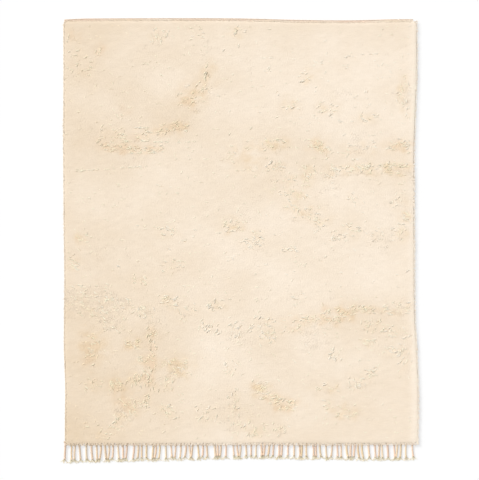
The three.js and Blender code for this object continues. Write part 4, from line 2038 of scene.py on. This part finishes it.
@dataclass
class Fringe:
    """The near end's warp, plied and knotted into tassels that lie on the floor."""

    outline: RugOutline
    tree: NodeTree
    finish: Material
    middle_x: float
    half_width: float = 1.25
    tassels: int = 74
    side_margin: float = 32 * MM
    root_shift: float = 7 * MM
    tip_lean: float = 15 * MM
    sway: float = 4 * MM
    # The tassels drift together and apart: how far, and by how much each is turned from the last.
    bunching: float = 10 * MM
    bunch_turn: float = 1.1
    drift: float = 2.0
    drift_turn: float = 0.37
    raggedness: float = 4.5 * MM
    start_inside: float = 8 * MM
    upper_knot: float = 22 * MM
    lower_knot: float = 27 * MM
    knot_rise: float = 2.2 * MM
    knot_reach: float = 9 * MM
    knot_radius: float = 6.6 * MM
    knot_points: int = 25
    knot_half: float = 5.5 * MM
    knot_turns: float = 1.8
    knot_start: float = 2.0
    knot_fullness: float = 0.4
    # The way from the pile's edge to the tips, by the place across the rug from -1 to 1.
    length_places: tuple[float, ...] = (-1.0, -0.75, -0.35, 0.15, 0.5, 1.0)
    lengths: tuple[float, ...] = (0.142, 0.134, 0.124, 0.115, 0.120, 0.130)
    cord: Cord = Cord(3, 4.1 * MM, 3.8 * MM, 34 * MM, 5.5 * MM, 6)
    cord_points: int = 28
    cord_fullness: Spread = Spread(1.0, 0.12)
    cord_tint: Spread = Spread(-0.05, 0.05)
    cord_tan: Spread = Spread(0.65, 0.4)
    cord_rose: Spread = Spread(0.4, 0.5)
    knot_cord: Cord = Cord(2, 2.2 * MM, 1.9 * MM, 14 * MM, 3.6 * MM, 4)
    root_cord: Cord = Cord(1, 2.2 * MM, 0.0, 20 * MM, 5.0 * MM, 4)
    tail_cord: Cord = Cord(1, 1.9 * MM, 0.0, 20 * MM, 4.0 * MM, 3)
    # The upper knots and the gathered warp ends are painted darker by this much: painted shade from
    # the pile's overhanging edge.
    upper_painted_shade: float = -0.14
    lower_tint: float = 0.12
    lower_tan: float = 0.6
    warps: int = 5
    warp_points: int = 7
    warp_spread: float = 14 * MM
    warp_stray: float = 0.15
    warp_fan: float = 0.8
    warp_height: Spread = Spread(6.5 * MM, 1.2 * MM)
    warp_tan: float = 0.8
    warp_rose: float = 0.3
    tails: int = 11
    tail_points: int = 10
    tail_reach: Spread = Spread(1.08, 0.24)
    tail_slowing: float = 1.3
    tail_spread: float = 22 * MM
    tail_fan: float = 0.8
    tail_hook: float = 20 * MM
    tail_flop: float = 5 * MM
    tail_curl: float = 2.5 * MM
    tail_wave: float = 4.0
    tail_phase: float = 3.0
    tail_height: Spread = Spread(1.5 * MM, 1.5 * MM)
    tail_taper: float = 0.7
    tail_tint: Spread = Spread(0.28, 0.1)
    tail_tan: Spread = Spread(1.15, 0.3)
    tail_rose: Spread = Spread(0.35, 0.35)

    def tassel_line(self, index: int, along: Array) -> Array:
        """Gives one tassel's centreline.

        Args:
            index: Which tassel it is, from the left.
            along: The ways from the pile's edge.

        Returns:
            The line's points.
        """
        across = 2 * index / (self.tassels - 1) - 1
        root = across * (self.half_width - self.side_margin)
        root += self.middle_x + self.root_shift * scatter(index, 2)
        drift = self.drift * math.sin(self.drift_turn * index)
        root += self.bunching * math.sin(self.bunch_turn * index + drift)
        reach = self.half_width - self.side_margin / 2
        root = min(max(root, self.middle_x - reach), self.middle_x + reach)
        length = self.length(index)
        lean = self.tip_lean * scatter(index, 3)
        sway = self.sway * scatter(index, 5)
        share = along / length
        x = root + lean * share**2 + sway * np.sin(math.pi * share)
        y = self.outline.near(np.array(root)) - along
        lift = bell(along - self.upper_knot, self.knot_reach)
        lift = lift + bell(along - (length - self.lower_knot), self.knot_reach)
        z = self.cord.lay_radius + self.cord.strand_radius + self.knot_rise * lift
        return np.stack([x, y, z], 1)

    def length(self, index: int) -> float:
        """Gives one tassel's length, from the pile's edge to its tips."""
        across = 2 * index / (self.tassels - 1) - 1
        usual = float(np.interp(across, self.length_places, self.lengths))
        return usual + self.raggedness * scatter(index, 1)

    def knot_line(self, index: int, at: float, hand: float) -> Array:
        """Gives the turns of one knot, wound round its tassel.

        Args:
            index: Which tassel it is on.
            at: The way from the pile's edge to its middle.
            hand: 1 or -1, the way it is wound.

        Returns:
            The line's points.
        """
        share = np.linspace(0, 1, self.knot_points)
        core = self.tassel_line(index, at + self.knot_half * (2 * share - 1))
        angle = hand * math.tau * self.knot_turns * share + self.knot_start * scatter(index, 6)
        radius = self.knot_radius * np.sin(math.pi * share) ** self.knot_fullness
        core[:, 0] += radius * np.cos(angle)
        core[:, 2] += radius * np.sin(angle)
        low = self.knot_cord.strand_radius + self.knot_cord.lay_radius
        core[:, 2] = np.maximum(core[:, 2], low)
        return core

    def root_lines(self, index: int) -> list[Array]:
        """Gives the warp ends that gather into one tassel's upper knot.

        Args:
            index: Which tassel it is.

        Returns:
            Each end's points.
        """
        share = np.linspace(0, 1, self.warp_points)
        along = -self.start_inside + (self.upper_knot + self.start_inside) * share
        lines = []
        for warp in range(self.warps):
            line = self.tassel_line(index, along)
            place = 2 * warp / (self.warps - 1) - 1 + self.warp_stray * scatter(index, warp + 40)
            line[:, 0] += self.warp_spread * place * (1 - share) ** self.warp_fan
            line[:, 2] = self.warp_height.of(index, warp + 50)
            lines.append(line)
        return lines

    def tail_lines(self, index: int) -> list[Array]:
        """Gives one tassel's loose ends, below its lower knot.

        Args:
            index: Which tassel it is.

        Returns:
            Each end's points.
        """
        length = self.length(index)
        start = length - self.lower_knot
        share = np.linspace(0, 1, self.tail_points)
        slowed = np.sin(self.tail_slowing * share) / math.sin(self.tail_slowing)
        held = (1 - share) ** 2
        lines = []
        flop = self.tail_flop * scatter(index, 7)
        for tail in range(self.tails):
            reach = self.lower_knot * self.tail_reach.of(index, tail + 90)
            line = self.tassel_line(index, start + reach * slowed)
            fan = self.tail_spread * (tail / (self.tails - 1) - 0.5) * 2
            hook = self.tail_hook * scatter(index, tail + 20)
            wave = self.tail_wave * share + self.tail_phase * scatter(index, tail + 60)
            curl = self.tail_curl * np.sin(wave) * share
            line[:, 0] += flop * share + fan * share**self.tail_fan + hook * share**3 + curl
            low = self.tail_cord.strand_radius
            height = low + self.tail_height.of(index, tail + 120)
            line[:, 2] = np.maximum(line[:, 2] * held + height * (1 - held), low)
            lines.append(line)
        return lines

    def build(self) -> list[Object]:
        """Builds the fringe.

        Returns:
            The cords, the knots, the gathered warp ends and the loose ends.
        """
        cords, knots, roots, tails = Guides(), Guides(), Guides(), Guides()
        for index in range(self.tassels):
            tint = self.cord_tint.of(index, 4)
            tan, rose = self.cord_tan.of(index, 8), self.cord_rose.of(index, 9)
            end = self.length(index) - self.lower_knot
            full = self.cord_fullness.of(index, 11)
            along = np.linspace(-self.start_inside, end, self.cord_points)
            line = self.tassel_line(index, along)
            line[:, 2] += max(full - 1, 0) * (self.cord.lay_radius + self.cord.strand_radius)
            cords.add(line, full, Tone(tint, tan, rose))
            # The upper knot and the warp ends under the pile's edge carry the painted shade.
            upper = Tone(tint + self.upper_painted_shade, tan, rose)
            knots.add(self.knot_line(index, self.upper_knot, 1), 1.0, upper)
            lower = Tone(tint + self.lower_tint, self.lower_tan, rose)
            knots.add(self.knot_line(index, end, -1), 1.0, lower)
            root = Tone(tint + self.upper_painted_shade, self.warp_tan, self.warp_rose)
            for line in self.root_lines(index):
                roots.add(line, 1.0, root)
            for tail, line in enumerate(self.tail_lines(index)):
                tint = self.tail_tint.of(index, tail + 150)
                tan = self.tail_tan.of(index, tail + 180)
                rose = self.tail_rose.of(index, tail + 210)
                taper = np.linspace(1.0, self.tail_taper, len(line))
                tails.add(line, taper, Tone(tint, tan, rose))
        pieces = (
            ("fringe_cords", self.cord, cords),
            ("fringe_knots", self.knot_cord, knots),
            ("fringe_roots", self.root_cord, roots),
            ("fringe_tails", self.tail_cord, tails),
        )
        return [cord.lay(name, lines, self.tree, self.finish) for name, cord, lines in pieces]


# ---- The heading ----


@dataclass
class Heading:
    """The far end's heading: a weft-faced strip with a twined cord along its outer edge."""

    outline: RugOutline
    tree: NodeTree
    finish: Material
    ground_inset: float = 12 * MM
    seat_gap: float = 0.3 * MM
    step: float = 2.8 * MM
    warp_pitch: float = 8.4 * MM
    picks: int = 6
    base_height: float = 3.6 * MM
    relief: float = 0.9 * MM
    end_margin: float = 3 * MM
    readings: int = 80
    read_height: float = 3 * MM
    tan: float = 0.4
    tan_wander: Wander = Wander(0.3, 52, 0.35)
    rose: float = 0.5
    rose_wander: Wander = Wander(0.5, 51, 0.4)
    edge_cord: Cord = Cord(2, 1.9 * MM, 1.7 * MM, 13 * MM, 2.8 * MM)
    cord_room: float = 3.5 * MM
    cord_end: float = 2 * MM
    cord_step: float = 6 * MM
    cord_tone: Tone = Tone(-0.02, 0.5, 0.5)

    def __post_init__(self) -> None:
        """Reads the strip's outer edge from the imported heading."""
        reader = EdgeReader("far_heading")
        low, high = reader.low, reader.high
        left, right = low.x + self.end_margin, high.x - self.end_margin
        self.x_places = np.linspace(left, right, self.readings)
        self.outer_y = reader.reach(self.x_places, 1, 1, self.read_height)
        self.low, self.high = low, high

    def outer(self, x: Array) -> Array:
        """The outer edge's y at these x."""
        return np.interp(x, self.x_places, self.outer_y)

    def strip(self) -> Object:
        """Builds the weft-faced strip.

        Returns:
            The piece.
        """
        x = np.arange(self.low.x, self.high.x, self.step)
        seat = self.outline.far(x) - self.ground_inset + self.seat_gap
        width = self.outer(x) - self.cord_room - seat
        rings = []
        rows = self.picks * 2
        for row in range(rows + 1):
            share = row / rows
            over = np.cos(math.tau * x / self.warp_pitch + math.pi * (row // 2))
            pick = abs(math.sin(math.pi * row / 2 + 0.5))
            height = self.base_height + self.relief * (0.5 * over + pick - 0.5)
            rings.append(np.stack([x, seat + width * share, height], 1))
        bottom = np.zeros(len(x))
        rings.append(np.stack([x, seat + width, bottom], 1))
        rings.append(np.stack([x, seat, bottom], 1))
        sides, stations = len(rings), len(x)
        points = np.stack(rings, 1).reshape(-1, 3)
        faces = ring_faces(stations, sides)
        faces.append(tuple(range(sides - 1, -1, -1)))
        faces.append(tuple((stations - 1) * sides + side for side in range(sides)))
        faces = [tuple(reversed(face)) for face in faces]
        piece = make_mesh("heading_strip", points, faces)
        x, y = points[:, 0], points[:, 1]
        tan = self.tan + self.tan_wander.at(x, y)
        rose = self.rose + self.rose_wander.at(x, y)
        store_all(piece, tan=np.clip(tan, 0, 1), rose=np.clip(rose, 0, 1))
        piece.data.materials.append(self.finish)
        return piece

    def build(self) -> list[Object]:
        """Builds the heading.

        Returns:
            The strip and its edge cord.
        """
        x = np.arange(self.low.x + self.cord_end, self.high.x - self.cord_end, self.cord_step)
        radius = self.edge_cord.strand_radius + self.edge_cord.lay_radius
        line = np.stack([x, self.outer(x) - radius, np.full(len(x), radius)], 1)
        guides = Guides()
        guides.add(line, 1.0, self.cord_tone)
        cord = self.edge_cord.lay("heading_cord", guides, self.tree, self.finish)
        return [self.strip(), cord]


# ---- The studio ----


@dataclass(frozen=True)
class Studio:
    """A white floor, soft light from the upper left and a camera straight above."""

    view_height: float = 3.389
    lens: float = 100.0
    sensor: float = 36.0
    centre_x: float = -0.0025
    floor_size: float = 60.0
    floor_drop: float = 0.4 * MM
    floor_shade: float = 0.94
    floor_glow: float = 1.05
    sun_heading: float = 135.0
    sun_elevation: float = 34.0
    sun_spread: float = 18.0
    sun_share: float = 0.42
    sky_share: float = 0.58
    shadow_share: float = 0.40

    def build(self) -> None:
        """Sets the camera, the lights and the floor up."""
        scene = bpy.context.scene
        scene.view_settings.view_transform = "Standard"
        self.camera()
        self.sun()
        self.sky()
        self.floor()

    def camera(self) -> None:
        """Hangs the camera over the rug's middle."""
        data = bpy.data.cameras.new("camera")
        data.lens, data.sensor_width = self.lens, self.sensor
        camera = bpy.data.objects.new("camera", data)
        low, high = CAD_BOX
        distance = self.view_height * self.lens / self.sensor
        camera.location = (self.centre_x, (low.y + high.y) / 2, high.z + distance)
        bpy.context.scene.collection.objects.link(camera)
        bpy.context.scene.camera = camera

    def sun(self) -> None:
        """Adds the key light."""
        data = bpy.data.lights.new("sun", "SUN")
        elevation, heading = math.radians(self.sun_elevation), math.radians(self.sun_heading)
        data.energy = math.pi * self.sun_share / math.sin(elevation)
        data.angle = math.radians(self.sun_spread)
        sun = bpy.data.objects.new("sun", data)
        level, rise = math.cos(elevation), math.sin(elevation)
        to_sun = Vector((math.cos(heading) * level, math.sin(heading) * level, rise))
        sun.rotation_euler = to_sun.to_track_quat("Z", "Y").to_euler()
        bpy.context.scene.collection.objects.link(sun)

    def sky(self) -> None:
        """Surrounds the rug with even light, and shows white behind it."""
        world = bpy.data.worlds.new("sky")
        bpy.context.scene.world = world
        world.use_nodes = True
        graph = Graph(world.node_tree)
        path = graph.add("ShaderNodeLightPath")
        seen = graph.math("MAXIMUM", path.outputs["Is Camera Ray"], path.outputs["Is Glossy Ray"])
        seen = graph.math("MAXIMUM", seen, path.outputs["Is Transmission Ray"])
        strength = graph.math("MULTIPLY_ADD", seen, 1 - self.sky_share, self.sky_share)
        background = world.node_tree.nodes["Background"]
        background.inputs["Color"].default_value = (1, 1, 1, 1)
        graph.feed(background.inputs["Strength"], strength)

    def floor(self) -> None:
        """Lays the floor, which shows white and keeps the rug's shadow."""
        half = self.floor_size / 2
        corners = [(-half, -half), (half, -half), (half, half), (-half, half)]
        points = np.array([(x, y, -self.floor_drop) for x, y in corners])
        floor = make_mesh("floor", points, [(0, 1, 2, 3)])
        material = bpy.data.materials.new("white floor")
        material.use_nodes = True
        graph = Graph(material.node_tree)
        shader = material.node_tree.nodes["Principled BSDF"]
        shader.inputs["Base Color"].default_value = (*[self.floor_shade] * 3, 1)
        shader.inputs["Roughness"].default_value = 1.0
        shader.inputs["Specular IOR Level"].default_value = 0.0
        white = {"Color": (1, 1, 1, 1), "Strength": self.floor_glow}
        glow = graph.add("ShaderNodeEmission", white)
        path = graph.add("ShaderNodeLightPath")
        share = graph.math("MULTIPLY", path.outputs["Is Camera Ray"], 1 - self.shadow_share)
        mixed = graph.add("ShaderNodeMixShader", {0: share, 1: shader.outputs[0], 2: glow})
        output = material.node_tree.nodes["Material Output"]
        graph.feed(output.inputs["Surface"], mixed)
        floor.data.materials.append(material)


# ---- The whole rug ----


@dataclass
class Finishes:
    """Every finish on the rug."""

    def __post_init__(self) -> None:
        """Makes the shared groups and the materials."""
        tone, fibres = build_tone_group(), build_fibre_group()
        cream, tan, rose = linear(252, 237, 218), linear(241, 217, 184), linear(246, 217, 193)
        self.pile = WoolFinish(
            "pile wool",
            cream,
            tan,
            rose,
            fleck=0.05,
            clump_scale=110.0,
            bump_height=2.2 * MM,
            bump_strength=0.7,
        ).make(tone, fibres)
        self.ground = WoolFinish(
            "ground wool", linear(228, 212, 190), tan, rose, bump_height=1.5 * MM
        ).make(tone, fibres)
        self.heading = WoolFinish(
            "heading wool", linear(255, 243, 226), linear(250, 231, 206), linear(252, 228, 208)
        ).make(tone, fibres)
        self.warp = WoolFinish(
            "warp wool", linear(248, 232, 209), linear(242, 219, 182), linear(246, 218, 197)
        ).make(tone, fibres)


def main() -> None:
    """Builds the rug piece by piece, then the studio round it."""
    logging.basicConfig(level=logging.INFO, format="%(name)s: %(message)s")
    finishes = Finishes()
    outline = RugOutline()
    lie = PileLie()
    ground = settle(GroundWeave(outline, finishes.ground).build(), ["pile_field"])
    mat_outline = outline.spread(left=0, right=10 * MM, near=17 * MM, far=11 * MM)
    mat = PileMat(mat_outline, lie, finishes.pile)
    pieces = [settle(mat.build(), ["pile_field"])]
    wool_outline = outline.spread(left=-9 * MM, right=12 * MM, near=25 * MM, far=11 * MM)
    for piece in PileLocks(wool_outline, lie, mat, finishes.pile).build():
        pieces.append(settle(piece, ["pile_field"]))
    for piece in Ruffles(lie, mat, outline, finishes.pile).build():
        pieces.append(settle(piece, ["pile_field"]))
    cord_tree = build_cord_tree()
    heading = Heading(outline, cord_tree, finishes.heading)
    for piece in heading.build():
        pieces.append(settle(piece, ["far_heading"]))
    middle_x = (heading.low.x + heading.high.x) / 2
    for piece in Fringe(outline, cord_tree, finishes.warp, middle_x).build():
        pieces.append(settle(piece, ["fringe"]))
    Studio().build()


if __name__ == "__main__":
    main()
